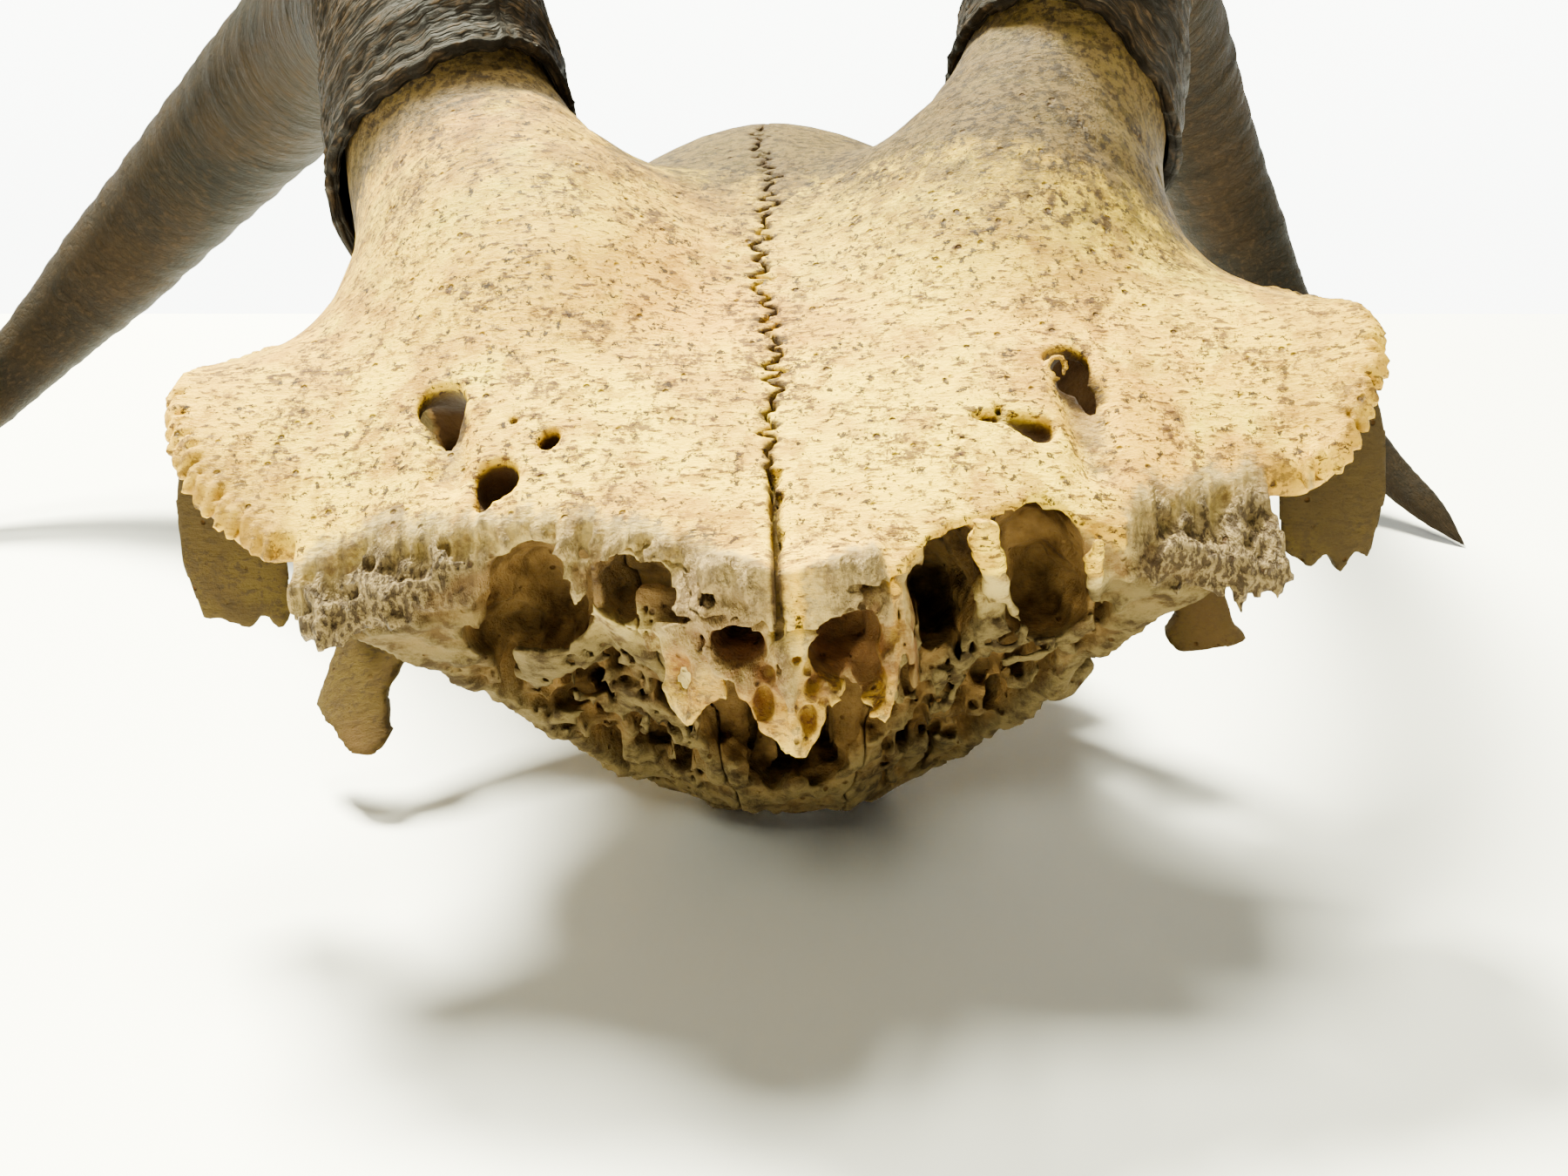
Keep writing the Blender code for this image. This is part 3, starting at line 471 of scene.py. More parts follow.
def crimp_rim(clay, way):
    """Small ribs across the edge of an eye socket's rim, where its edge is crimped like a pie's."""
    edge = RIGHT_EDGE if way < 0 else LEFT_EDGE
    edge = np.array([(way * a, b) for a, b in edge if a > 48 and 17 < b < 52], float)
    steps = np.concatenate([[0], np.cumsum(np.linalg.norm(np.diff(edge, axis=0), axis=1))])
    random = np.random.default_rng(21 + way)
    for place in np.arange(0.3, steps[-1], CRIMP_PITCH):
        place += random.uniform(-0.2, 0.2)
        x, y = (np.interp(place, steps, edge[:, k]) for k in (0, 1))
        x2, y2 = (np.interp(place + 0.5, steps, edge[:, k]) for k in (0, 1))
        out = np.array((y2 - y, x - x2)) * way
        out /= max(np.linalg.norm(out), 1e-6)
        long = np.interp(y, (17, 30, 44), (1.2, 2.0, 3.4)) * random.uniform(0.8, 1.15)
        start = np.array((x, y)) - out * long
        top = float(forehead_height(*start)) - 0.15
        end = np.array((x, y)) + out * 0.35
        low = float(forehead_height(x, y)) - 1.5
        lean = random.uniform(-0.3, 0.3)
        rib = [(*start, top), (*(start + end) / 2, (top + low) / 2 + 0.75), (end[0], end[1] + lean, low)]
        clay.add(bar(rib, (0.40, 0.62, 0.66)), 0.35)


def shape_skull(clay):
    """Fills the clay with the whole upright skull."""
    x, y, z = clay.grid
    height = forehead_height(x[..., 0], y[..., 0])[..., None].astype(np.float32)
    outline = outline_distance(x[..., 0], y[..., 0])[..., None].astype(np.float32)
    slope = np.sqrt(1 + sum(g**2 for g in np.gradient(height[..., 0], clay.step)))[..., None]
    side = np.abs(x)

    # Plate: sharp and torn along the front, rolled over at the sockets' rims
    rim = fade(side - 46, 5) * fade(y - 15, 4)
    torn = random_field((x, y, z), (1.6, 1.6, 3), 11) * 0.9 + random_field((x, y, z), (0.8, 0.8, 2), 12) * 0.6
    front = fade(22 - y, 8) * (1 - rim)
    edge = outline + torn * front * 0.9
    lip = -0.8 * np.clip(1 + outline / 4, 0, 1) * fade(31 - side, 3)
    lip = lip + 0.45 * random_field((x, y, z), (1.0, 3, 3), 16) * fade(20 - y, 5)
    corner = fade(side - 28, 5) * fade(48 - side, 3) * 1.6 * fade(26 - y, 6)
    lip = lip - 0.5 * fade(x - 9, 2) * fade(31 - x, 2) * fade(18 - y, 4)
    thick = OUTER_TABLE + 2.6 * rim + lip + corner
    thick = thick + np.clip((y - 30) / 12, 0, 3) * fade(46 - side, 8)
    clay.roof = (height - thick).astype(np.float32)
    under = (height - thick - z) / slope
    top = (z - height) / slope
    plate = smooth_max(smooth_max(top, under, 0.6 + 2.2 * rim), edge, 0.5 + 2.2 * rim)

    # Between the sockets: solid behind the slanting break
    low = fade(42 - z, 8) * fade(52 - y, 10)
    wall = (side - socket_wall(y[0], z[0])[None].astype(np.float32) - 1.8 * low) * 0.86
    ragged = random_field((x, y, z), 3.2, 13) * 0.9 + random_field((x, y, z), 1.3, 14) * 0.6
    depth = break_depth(x, y, z)
    face = -depth + ragged * np.clip((40 - side) / 10, 0.15, 1)
    clear = fade(outline + 1.5, 1.5) * fade(side - 8, 3)
    block = smooth_max(smooth_max(wall, face, 0.6), top + 0.6 + 3.0 * clear, 0.6)
    block = smooth_max(block, np.maximum(6.5 - z, y - 86), 2)

    # The sinuses' caves and the nose's passage open in it
    caves = np.float32(1e3)
    for place, deep, radii in SINUSES:
        middle = on_break(*place, deep)
        caves = smooth_min(caves, egg(middle, radii, -17)[2](x, y, z).astype(np.float32), 0.4)
    caves = caves + 0.9 * random_field((x, y, z), (2.6, 5, 2.6), 15) + 0.5 * random_field((x, y, z), 1.2, 18)
    caves = smooth_max(smooth_max(caves, wall + 1.2, 0.8), top + thick + 0.2, 1.0)
    reach = np.sqrt((x / 10.0) ** 2 + ((z - 27) / 12.5) ** 2) - 1
    passage = reach * 10 + 2.2 * random_field((x, y, z), (2.6, 7, 4), 19)
    passage = passage + 0.8 * random_field((x, y, z), 1.3, 20)
    passage = smooth_max(passage, depth - 10, 1.5)
    block = smooth_max(block, -np.minimum(caves, passage), 0.4)
    clay.depth = smooth_min(plate, block, 1.0)
    for way in (-1, 1):
        clay.add(core_shape(way), 7.0)

    # Braincase, crest and base
    clay.add(egg((0, 91, 50), (32.5, 39, 35.3)), 4)
    clay.add(egg((0, 115, 43), (31, 17, 25)), 4)
    crest = [(-31, 112, 34), (-27, 117, 50), (-14, 125, 62), (0, 128.5, 66.5)]
    clay.add(bar(crest + [(-a, b, c) for a, b, c in crest[2::-1]], (3.0, 2.6, 2.2, 2.6, 2.2, 2.6, 3.0)), 4)
    clay.add(bar([(0, 126, 62), (0, 129, 50), (0, 131, 36)], (2.0, 1.2, 1.0)), 5)
    clay.add(bar([(0, 54, 11), (0, 78, 11.5), (0, 104, 12.5), (0, 128, 15)], (6, 7, 8, 7.5)), 3)
    for way in (-1, 1):
        clay.add(egg((way * 5.5, 110, 9), (4.0, 7, 4.5)), 3)
        clay.add(egg((way * 13, 129, 19.5), (8, 9.5, 10.5), -20), 1.5)
        path = [(29, 112, 34), (31, 114, 22), (30.5, 115, 12), (29, 114, 3.6)]
        clay.add(bar([(way * a, b, c) for a, b, c in path], (6.0, 4.6, 3.2, 1.8)), 3)
        clay.add(egg((way * 20, 97, 15), (7.5, 10, 9), 15), 1.5)
        clay.add(bar([(way * 22, 97, 24), (way * 37, 101, 29)], (5.5, 4.4)), 2)
        clay.add(egg((way * 31, 84, 28), (7, 9, 5)), 4)
        clay.add(bar([(way * 29, 110, 36), (way * 33, 100, 37), (way * 34, 90, 36)], (2.2, 2.0, 2.4)), 4)
        stump = [
            (9.5, 67, 20, 4.5, 13), (9, 65.5, 10, 5, 8.5), (8.6, 65, 2, 4.9, 4.8), (8.6, 65, -1.5, 4.4, 4.2),
        ]
        clay.add(blade([(way * a, *rest) for a, *rest in stump], 0.8, 5 + way), 2)
        post = [
            (57, 46, 64, 5.0, 3.6),
            (59.5, 45, 58, 6.2, 2.2),
            (61.2, 43.5, 50, 6.4, 1.4),
            (61.8, 42.5, 43, 6.0, 1.2),
            (61.4, 42.5, 36 - 0.8 * (way < 0), 5.0, 1.2),
        ]
        clay.add(blade([(way * a, *rest) for a, *rest in post], 2.0, 8 + way), 1.2)
        crimp_rim(clay, way)


# Cheek arches. All that is left of each is the temple bone's own stump, flared at its forward end where
# the cheekbone was joined, and stained amber. The right one droops.

CHEEK_SHIFT = {-1: (1.8, -3.0), 1: (-0.5, 2.2)}  # outwards and upwards at the end
FLARE = {
    -1: (
        (-58.8, 27), (-49.2, 27), (-49.4, 22.2), (-51.4, 20.4), (-53, 18), (-53, 15.4), (-52.4, 13.4),
        (-53.4, 11.8), (-55, 11.2), (-58, 11.4), (-60.7, 13.4), (-64.4, 14.8), (-62.7, 18.7), (-60, 24.6),
    ),
    1: (
        (49.0, 27), (56.6, 29), (57.0, 24), (57.3, 21.2), (59.0, 19), (58.2, 18.0), (54, 18.7), (49.8, 18.3),
        (48.2, 19.8), (50.2, 22.4),
    ),
}


def add_cheek(clay, way):
    """A cheek arch's stump, from the braincase's side out and forward to its flared end."""
    shift, lift = CHEEK_SHIFT[way]
    path = [(27, 91, 33), (36, 89, 33), (45, 83, 31.5), (51, 75, 28.5), (54.5, 68, 25)]
    bend = [(i / 5) ** 2 for i in range(5)]
    spine = [(way * (a + shift * k), b, c + lift * k) for k, (a, b, c) in zip(bend, path)]
    clay.add(bar(spine, (6.5, 5.2, 3.6, 2.6, 2.2)), 3)
    ridge = [(a, b, c + up) for (a, b, c), up in zip(spine, (4, 4, 3.0, 3.0, 2.6))]
    clay.add(bar(ridge, (5.0, 4.0, 2.8, 2.2, 2.0)), 2)
    clay.add(leaf(FLARE[way], 61.5, 2.4, (way * 0.25, 0.75), (0.06, 0.0), 0.3), 1.0)


# Broken front. Below the forehead's torn edge the sinuses stand open between thin curved walls, and in the
# middle the sieve bone's two tubes flank the nose's upright plate. Grey-white breaks, orange-brown inside.


def carve_caves(clay):
    """The smaller cells between and below the sinuses' caves, which also slope down to the back."""

    def inside(shape):
        low, high, distance = shape

        def walled(x, y, z):
            return np.maximum(distance(x, y, z), np.abs(x) - socket_wall(y[0], z[0])[None] + 1.0)

        return low, high, walled

    for x, z, deep, radii in (
        (-15.3, 38.2, 2.0, (1.4, 5, 1.8)),
        (-17.3, 36.6, 2.0, (1.0, 5, 2.6)),
        (-20.6, 31.6, 2.0, (1.9, 5, 1.8)),
        (-28.6, 35.6, 2.0, (0.9, 6, 2.5)),
        (-29.5, 41.2, 2.0, (1.3, 6, 2.4)),
        (-29.2, 27.6, 1.6, (2.7, 4, 1.2)),
        (-23.4, 28.2, 2.0, (2.5, 5, 1.6)),
        (-15.6, 19.6, 1.5, (2.2, 5, 1.4)),
        (-21.0, 26.0, 1.5, (1.2, 4, 1.1)),
        (22.4, 36.8, 1.6, (1.3, 5, 1.0)),
        (24.4, 33.4, 1.6, (1.9, 5, 1.2)),
        (22.9, 31.0, 1.6, (1.7, 5, 0.7)),
        (31.6, 40.4, 1.5, (0.8, 4, 3.0)),
        (28.0, 26.4, 1.8, (1.3, 4, 2.2)),
        (35.4, 33.4, 1.5, (1.2, 4, 1.4)),
        (21.6, 28.0, 2.5, (1.7, 6, 2.3)),
        (23.6, 25.0, 2.0, (1.5, 5, 1.6)),
    ):
        clay.carve(inside(egg(on_break(x, z, deep), radii, -19)), 0.35)
    random = np.random.default_rng(29)
    for _ in range(210):
        side = random.choice((-1, 1))
        x = side * random.uniform(12, 34)
        z = random.uniform(17, 37)
        size = random.uniform(0.35, 1.0) ** 1.5
        radii = (size * 1.3, size * 3.5, size * random.uniform(0.8, 1.9))
        clay.carve(inside(egg(on_break(x, z, random.uniform(-0.8, 1.2)), radii, -19)), 0.2)


def add_right_scrolls(clay):
    """The thin shells and strips in the right sinus."""
    cup = [
        (-26.2, 39.7), (-23.3, 39.1), (-19.9, 40.7), (-16.6, 44.0), (-17.2, 38.9), (-19.7, 35.9),
        (-22.2, 33.7), (-24.8, 31.8), (-27.3, 31.4), (-27.5, 35.1),
    ]
    clay.add(leaf(cup, 19.6, 1.0, (0, -1.0), (0.05, 0.03), 0.5), 0.5)
    tongue = [
        (-13.1, 45.6), (-12.6, 47.6), (-9.0, 47.6), (-8.1, 45.6), (-8.1, 44.0), (-8.8, 42.7), (-9.9, 42.0),
        (-11, 41.8), (-12.0, 42.4), (-12.9, 43.8),
    ]
    clay.add(leaf(tongue, 9.2, 1.0, (0.1, 0.3), (0.09, 0.06), 0.4), 0.5)
    for x, z in (
        (-12.0, 45.9), (-11.5, 44.8), (-12.1, 44.0), (-10.8, 43.4), (-9.3, 43.5), (-10.2, 46.0), (-9.2, 45.2)
    ):
        clay.carve(bar([(x, 7, z), (x + 0.1, 13, z)], 0.33), 0.2)
    clay.add(bar([(-18.0, 10.6, 50.2), (-18.1, 10.8, 48.4), (-18.3, 11.0, 46.6)], (1.3, 0.9, 0.4)), 0.6)
    random = np.random.default_rng(31)
    for _ in range(16):
        x = random.uniform(-27, -18)
        z = 35 + 0.55 * (x + 25) + random.uniform(-2.5, 2.5)
        clay.carve(egg(on_break(x, z, -0.4), (0.3, 2.5, 0.3), -19), 0.2)
    low = [
        (-19.1, 28.1), (-17.0, 30.6), (-15.3, 29.3), (-13.1, 27.7), (-13.6, 24.7), (-16.2, 21.5),
        (-17.9, 23.7), (-19.1, 25.8),
    ]
    clay.add(leaf(low, 31.0, 0.8, (-0.55, -1.0)), 0.4)
    for strip, front, lean in (
        ([(-18.1, 37.2), (-17.1, 37.5), (-17.8, 31.2), (-18.5, 30.1), (-18.7, 31.2)], 24.7, (0.00, -1.0)),
        ([(-16.1, 38.0), (-15.1, 38.3), (-16.4, 31.4), (-17.4, 29.0), (-17.5, 30.5)], 24.2, (-0.67, -1.0)),
        ([(-15.8, 43.5), (-14.6, 42.5), (-15.8, 38.3), (-16.4, 38.8)], 15.8, (-0.79, -1.0)),
    ):
        clay.add(leaf(strip, front, 0.8, lean), 0.4)
    for points, front, deep in (
        ([(-16.4, 51.2), (-17.0, 47.5), (-17.6, 44.0)], 11.0, 12),
        ([(-13.3, 42.2), (-13.8, 38), (-14.9, 33.0)], 16.0, 10),
        ([(-12.0, 42.0), (-12.5, 38), (-12.8, 32.0)], 15.6, 10),
    ):
        clay.add(curtain(points, front, deep, 0.75, (0.05, 0), 0.9), 0.4)


def add_left_scrolls(clay):
    """The strut, the hanging plate and the net below it in the left sinus."""
    strut = [
        (17.0, 55.1), (18.8, 54.9), (20.1, 50.3), (21.7, 43.9), (24.4, 38.0), (23.8, 37.8), (21.3, 43.4),
        (20.7, 44.0), (19.4, 43.6), (18.5, 47.4), (16.9, 52.0),
    ]
    clay.add(leaf(strut, 9.2, 1.3, (0.1, -1.0), (0.06, 0.0), 0.35), 0.5)
    hanging = [
        (15.7, 36.6), (18.4, 37.0), (19.8, 32.0), (18.2, 28.4), (18.0, 23.0), (15.5, 23.9), (14.9, 25.7),
        (15.4, 29.5), (15.0, 33.8),
    ]
    clay.add(leaf(hanging, 26.3, 0.9, (0.39, -1.0), (0.04, 0.0)), 0.4)
    net = [
        (19.1, 39.1), (21.4, 40.3), (24.4, 36.6), (27.5, 37.4), (27.3, 34.9), (26.3, 33.0), (22.3, 32.6),
        (20.1, 34.7),
    ]
    clay.add(leaf(net, 20.6, 0.9, (0, -1.0), (0, 0), 0.6), 0.4)
    for x, z, wide, high in (
        (22.4, 36.9, 1.1, 0.8), (24.5, 34.9, 1.3, 0.8), (26.4, 35.2, 0.5, 0.6), (22.2, 33.9, 1.2, 0.45),
        (20.4, 36.6, 0.4, 0.5),
    ):
        clay.carve(egg(on_break(x, z, -0.2), (wide, 3, high), -19), 0.2)
    clay.add(bar([(26.4, 32.5, 28.0), (30.2, 34.0, 26.4), (32.8, 35.0, 27.6)], (1.5, 2.0, 1.2)), 1.0)
    side = [(27.7, 51.7), (29.0, 51.4), (30.1, 42.8), (29.3, 42.9), (27.6, 47.5)]
    clay.add(leaf(side, 9.0, 0.9, (0.02, -1.0)), 0.4)
    for points, front, deep, thick, rise in (
        ([(30.4, 44.8), (30.7, 40), (31.0, 35.4)], 16.0, 10, 0.9, 1.0),
        ([(27.4, 36.6), (28.0, 34), (28.6, 31.6)], 23.0, 8, 0.8, 1.0),
        ([(12.9, 41.0), (13.0, 37), (12.6, 32)], 15.0, 9, 0.75, 0.9),
    ):
        clay.add(curtain(points, front, deep, thick, (0.04, 0), rise), 0.5)


def add_middle(clay):
    """The nose's upright plate with a tube each side, and the scrolls' upright blades behind it."""
    core = [
        (-7.0, 52), (-6.8, 45.4), (-5.8, 42.2), (-3.8, 41.4), (-2.4, 38.4), (-0.7, 36.2), (0.7, 34.4),
        (2.1, 34.2), (3.0, 36.6), (4.4, 39.4), (5.8, 39.8), (7.4, 37.6), (9.0, 36.6), (9.9, 38.4), (10.4, 41),
        (10.6, 46), (9.4, 52),
    ]
    clay.add(leaf(core, 0.6, 13, (0.06, 0.0), (0.035, 0.004), 0.3), 0.6)
    left_face = [(-6.2, 46.0), (-10.4, 45.2), (-10.7, 42.7), (-10.3, 37.6), (-8.6, 36.4), (-7.6, 40.4)]
    clay.add(leaf(left_face, 5.4, 0.9, (-0.7, 0.1)), 0.4)
    right_face = [(-6.0, 46.0), (-7.8, 40.4), (-8.7, 36.4), (-6.9, 38.0), (-5.0, 39.5), (-4.7, 42.6)]
    clay.add(leaf(right_face, 3.6, 0.9, (-0.3, 0.05)), 0.4)
    for points, front, deep, thick in (
        ([(9.8, 48), (10.3, 44), (9.9, 40), (9.0, 36.6)], 3.0, 8, 0.7),
        ([(10.6, 48), (11.6, 43), (11.9, 38.4)], 4.6, 8, 0.7),
    ):
        clay.add(curtain(points, front, deep, thick, (0.1, 0), 0.1), 0.4)
    for front, lean, *edge in (
        (40.8, 0.1, (-9.9, 36), (-5.7, 36), (-4.1, 24), (-4, 15), (-5.2, 12.2), (-6.8, 14.2), (-10.1, 16.7)),
        (38.2, -0.3, (-4.0, 34), (-1.7, 34), (-1.7, 19.6), (-1.9, 16.5), (-2.8, 15.2), (-4.3, 15.9)),
        (42.0, 0.35, (-0.7, 34), (2.2, 34), (2.2, 13.4), (2.0, 9.3), (0.9, 11.9), (0.2, 10.8)),
        (41.5, -0.15, (3.8, 36), (8.5, 36), (9.0, 18.5), (9.1, 13.7), (7.2, 11.4), (6.1, 13.6), (4.5, 12.1)),
        (36, 0.25, (-9.6, 36), (-5.2, 36), (-4.6, 22), (-5.2, 16.4), (-6.6, 18.8), (-8.4, 13.9), (-9.9, 19)),
        (36.6, -0.2, (4.4, 36), (9.4, 36), (10.2, 20), (9.2, 13.5), (7.6, 16.9), (6.2, 12.8), (4.8, 17)),
        (37.5, -0.4, (-12.4, 36), (-9.0, 36), (-8.6, 22), (-9.9, 15.4), (-12.0, 17.7)),
        (38.2, 0.4, (8.2, 36), (12.4, 36), (12.6, 20), (11.2, 14.6), (9.4, 17.5)),
    ):
        bulge = (0.05 * np.sign(lean), 0)
        clay.add(leaf(edge, front, 0.8, (lean, -0.15), bulge, 0.6, int(front * 10)), 0.4)
    for x0, front in ((-7.4, 40.0), (-3.0, 42.0), (2.9, 40.5), (6.3, 43.0)):
        points = [(x0, 38.5), (x0 * 1.05, 27), (x0 * 0.95, 16), (x0 * 0.9, 11.5)]
        clay.add(curtain(points, front, 12, 0.8, (0.06, 0), 0.15, 1.6, int(front)), 0.4)
    for centre, radii in (
        ((-3.3, 3.0, 44.8), (2.35, 8, 1.9)), ((5.9, 4.0, 43.9), (3.6, 8.5, 3.4)),
        ((7.5, 3.5, 40.4), (2.0, 6, 2.6)), ((-0.95, 0.6, 42.3), (1.0, 2.4, 1.1)),
        ((-1.4, 0.8, 39.8), (1.05, 2.6, 1.8)), ((3.0, 0.8, 41.2), (0.95, 2.2, 1.0)),
        ((2.3, 0.8, 38.0), (0.7, 1.8, 1.6)), ((-8.9, 4.6, 42.0), (1.3, 1.4, 2.0)),
        ((-4.4, 4, 37.4), (2.0, 9, 2.0)), ((6.1, 3, 37.0), (1.4, 9, 1.8)),
    ):
        clay.carve(egg(np.array(centre, float), radii), 0.4)
    ridge = [(0.3, 0.5, 48), (0.5, 0.2, 44), (0.9, 0, 40), (1.4, 0.2, 35.0)]
    clay.add(bar(ridge, (0.4, 0.45, 0.5, 0.5)), 0.5)
    random = np.random.default_rng(37)
    for _ in range(90):
        x, z = random.uniform(-10, 10), random.uniform(35, 48)
        size = random.uniform(0.25, 0.6)
        centre = np.array((x, 0.6 + 0.035 * x * x + random.uniform(-0.3, 0.8), z))
        clay.carve(egg(centre, (size, size * 2, size * random.uniform(0.8, 1.8))), 0.2)
    cut, grid = clay.window((-12, -2, 33), (12, 14, 52))
    if clay.depth[cut].size:
        clay.depth[cut] += 0.26 * random_field(grid, 0.9, 54) + 0.22 * random_field(grid, 1.9, 55)


def pierce(clay):
    """The sponge of thin upright walls with narrow cells between them, below the sinuses."""
    cut, grid = clay.window((-36, 2, 10), (37, 52, 52))
    if not clay.depth[cut].size:
        return
    x, y, z = grid
    depth = break_depth(x, y, z)
    side = np.abs(x)
    wall = side - socket_wall(y[0], z[0])[None].astype(np.float32)
    ceiling = np.interp(side, (8, 12, 16, 22, 26, 30, 36), (14, 36, 38, 36, 34, 37, 36))
    near = np.minimum((ceiling - z) / 2.5, np.minimum((6.5 - depth) / 2.0, (side - 9.5) / 1.5))
    near = np.clip(np.minimum(near, -(wall + 0.6) / 0.8), 0, 1)
    patch = np.clip(0.9 + 1.3 * random_field(grid, (6, 12, 6), 45), 0, 1)
    cells = np.abs(random_field(grid, (2.1, 7, 6.5), 41) + 0.3 * random_field(grid, (0.9, 3, 1.6), 43)) - 0.25
    pores = random_field(grid, (1.0, 2.0, 1.0), 42) - 0.68
    open_cells = np.minimum(cells * 2.2, (near * patch - 0.35) * 3)
    open_pores = np.minimum(pores * 2.2, (near - 0.2) * 3)
    clay.depth[cut] = smooth_max(clay.depth[cut], np.maximum(open_cells, open_pores), 0.3)


def open_front(clay):
    """The whole broken front below the forehead's edge."""
    carve_caves(clay)
    add_right_scrolls(clay)
    add_left_scrolls(clay)
    add_middle(clay)
    pierce(clay)


def carve_holes(clay):
    """The vessels' holes through the forehead and round the skull, and the suture's grey fluted ends."""
    for path, radii in (
        ([(-32.3, 26.2, 64.0), (-32.6, 31, 58.5), (-33.0, 40, 51)], (2.6, 2.3, 2.0)),
        ([(-31.6, 25.8, 63.4), (-31.2, 21.0, 59.9)], (1.9, 1.0)),
        ([(29.4, 26.4, 64.2), (29.6, 31, 58.5), (30.0, 40, 51)], (2.4, 2.2, 2.0)),
        ([(29.6, 25.8, 63.2), (31.6, 20.0, 58.4)], (1.9, 1.3)),
        ([(-26.0, 18.4, 56.8), (-26.0, 19.4, 54.4)], (2.3, 1.9)),
        ([(-27.4, 16.2, 55.6), (-27.0, 16.9, 54.4)], (0.9, 0.8)),
        ([(-21.2, 21.5, 59.4), (-21.2, 22.4, 57.0)], (0.95, 0.8)),
        ([(-20.8, 22.1, 59.8), (-20.8, 23.0, 57.4)], (0.8, 0.7)),
        ([(-33.2, 20.6, 57.4), (-32.4, 21.0, 56.6)], (0.7, 0.6)),
        ([(-24.8, 24.2, 61.6), (-24.8, 24.6, 60.0)], (0.4, 0.3)),
        ([(22.4, 21.4, 59.4), (25.6, 20.2, 58.0)], (0.7, 1.5)),
        ([(19.6, 21.6, 59.4), (21.4, 21.4, 59.0)], (0.35, 0.6)),
        ([(22.0, 22.4, 60.6), (22.0, 22.8, 59.0)], (0.45, 0.4)),
        ([(20.8, 21.2, 59.8), (20.8, 21.8, 58.4)], (0.45, 0.4)),
    ):
        clay.carve(bar(path, radii), 0.6)
    for x0, y0, x1, y1, wide in ((30.6, 24.0, 31.6, 17.0, 2.9), (-31.8, 24.4, -31.0, 19.0, 2.5)):
        near, far = (float(forehead_height(*place)) for place in ((x0, y0), (x1, y1)))
        ends = [(x0, y0, near + wide * 0.5), (x1, y1, far + wide * 0.85)]
        clay.carve(bar(ends, (wide, wide * 1.1)), 1.2)
    turn = np.linspace(0, 2 * math.pi, 9)
    ring = np.stack([28.4 + 0.9 * np.cos(turn), 27.2 + 0.6 * np.sin(turn), 62.6 + 1.0 * np.sin(turn)], 1)
    clay.add(bar(ring, (0.32, 0.4, 0.34, 0.3, 0.42, 0.36, 0.3, 0.36, 0.32)), 0.2)
    clay.add(bar([(27.0, 27.6, 61.2), (27.8, 27.0, 62.0)], (0.4, 0.35)), 0.2)
    clay.carve(egg(np.array((0, 133, 25.0)), (9.5, 14, 8.5)), 1)
    clay.carve(egg(np.array((0, 120, 26.0)), (8.5, 14, 8.0), 10), 1)
    for way in (-1, 1):
        for x, y, z, *radii in (
            (17, 61, 26, 4.5, 5, 4.2),
            (24, 64, 33, 5, 3, 2.4),
            (39, 101.5, 29.6, 4, 2.2, 2.4),
            (14, 117, 14, 2, 4, 2),
            (24, 111, 24, 2, 3, 2),
            (15, 78, 12, 3, 4, 2.2),
        ):
            clay.carve(egg(np.array((way * x, y, z), float), radii), 1)
    random = np.random.default_rng(53)
    for _ in range(150):
        x = random.choice([random.uniform(*part) for part in ((-27, -1), (-46, -27), (2.5, 10), (33, 47))])
        y = np.interp(x, GREY_X, GREY_Y) - random.uniform(0.6, 4.0)
        z = float(forehead_height(x, y)) - random.uniform(0.2, 1.0)
        size = random.uniform(0.3, 0.62)
        clay.carve(egg(np.array((x, y, z)), (size, size * 1.5, size * 1.8)), 0.35)
    for x, low, high in (
        (0.3, 0.6, 2.6), (0.4, 3.8, 5.4), (0.3, 6.8, 9.6), (0.3, 11.6, 14.0), (0.3, 15.6, 17.0)
    ):
        near, far = (float(forehead_height(x, y)) - 0.5 for y in (low, high))
        ends = [(x, low, near), (x + 0.2, high, far)]
        clay.carve(bar(ends, (0.55, 0.62)), 0.4)
    cut, grid = clay.window((-50, -2, 36), (50, 24, 62))
    if clay.depth[cut].size:
        x, y, z = (part.astype(float) for part in grid)
        height = forehead_height(x[..., 0], y[..., 0])[..., None]
        rough = fluted(x, y, np.float64(60)) * fade(z - height + 7, 2)
        flutes = random_field(grid, (1.0, 2.2, 1.5), 51) + random_field(grid, 0.9, 52)
        clay.depth[cut] += 0.5 * np.minimum(rough * 1.8, 1) * (flutes + 0.3)
        grains = random_field(grid, (0.75, 1.2, 1.0), 56) * fade(24 - np.abs(x), 3) * fade(3 - x, 3)
        clay.depth[cut] += 0.5 * np.minimum(rough * 2, 1) * grains


def fluted(x, y, z):
    """How far a place belongs to the rough grey suture face along the forehead's front edge."""
    reach = np.interp(x, GREY_X, GREY_Y)
    reach = reach + 0.5 * np.sin(x * 2.1 + 1.7 * np.sin(x * 0.9)) + 0.4 * np.sin(x * 5.3)
    strength = np.interp(np.abs(x), (20, 28), (0.55, 1.0))
    return fade(reach - y, 2.2) * fade(z - forehead_height(x, y) + 7, 2) * strength


# Where the bones part. Each cut is 0.3 mm wide and follows the real suture.

GAP = 0.32
CORONAL = ((0, 103, 86), (0, 0.93, -0.37))
LAMBDOID = ((0, 118, 62), (0, 0.985, -0.17))
SPHENOID_TOP = ((0, 45, 8.5), (0, -0.37, 0.929))
SIEVE_TOP = ((0, 2, 50), (0, -0.235, 0.972))
TEMPLE_FRONT = ((0, 76, 30), (0, -0.995, 0.1))
TEMPLE_TOP = ((0, 90, 56), (0, 0.2, 0.98))


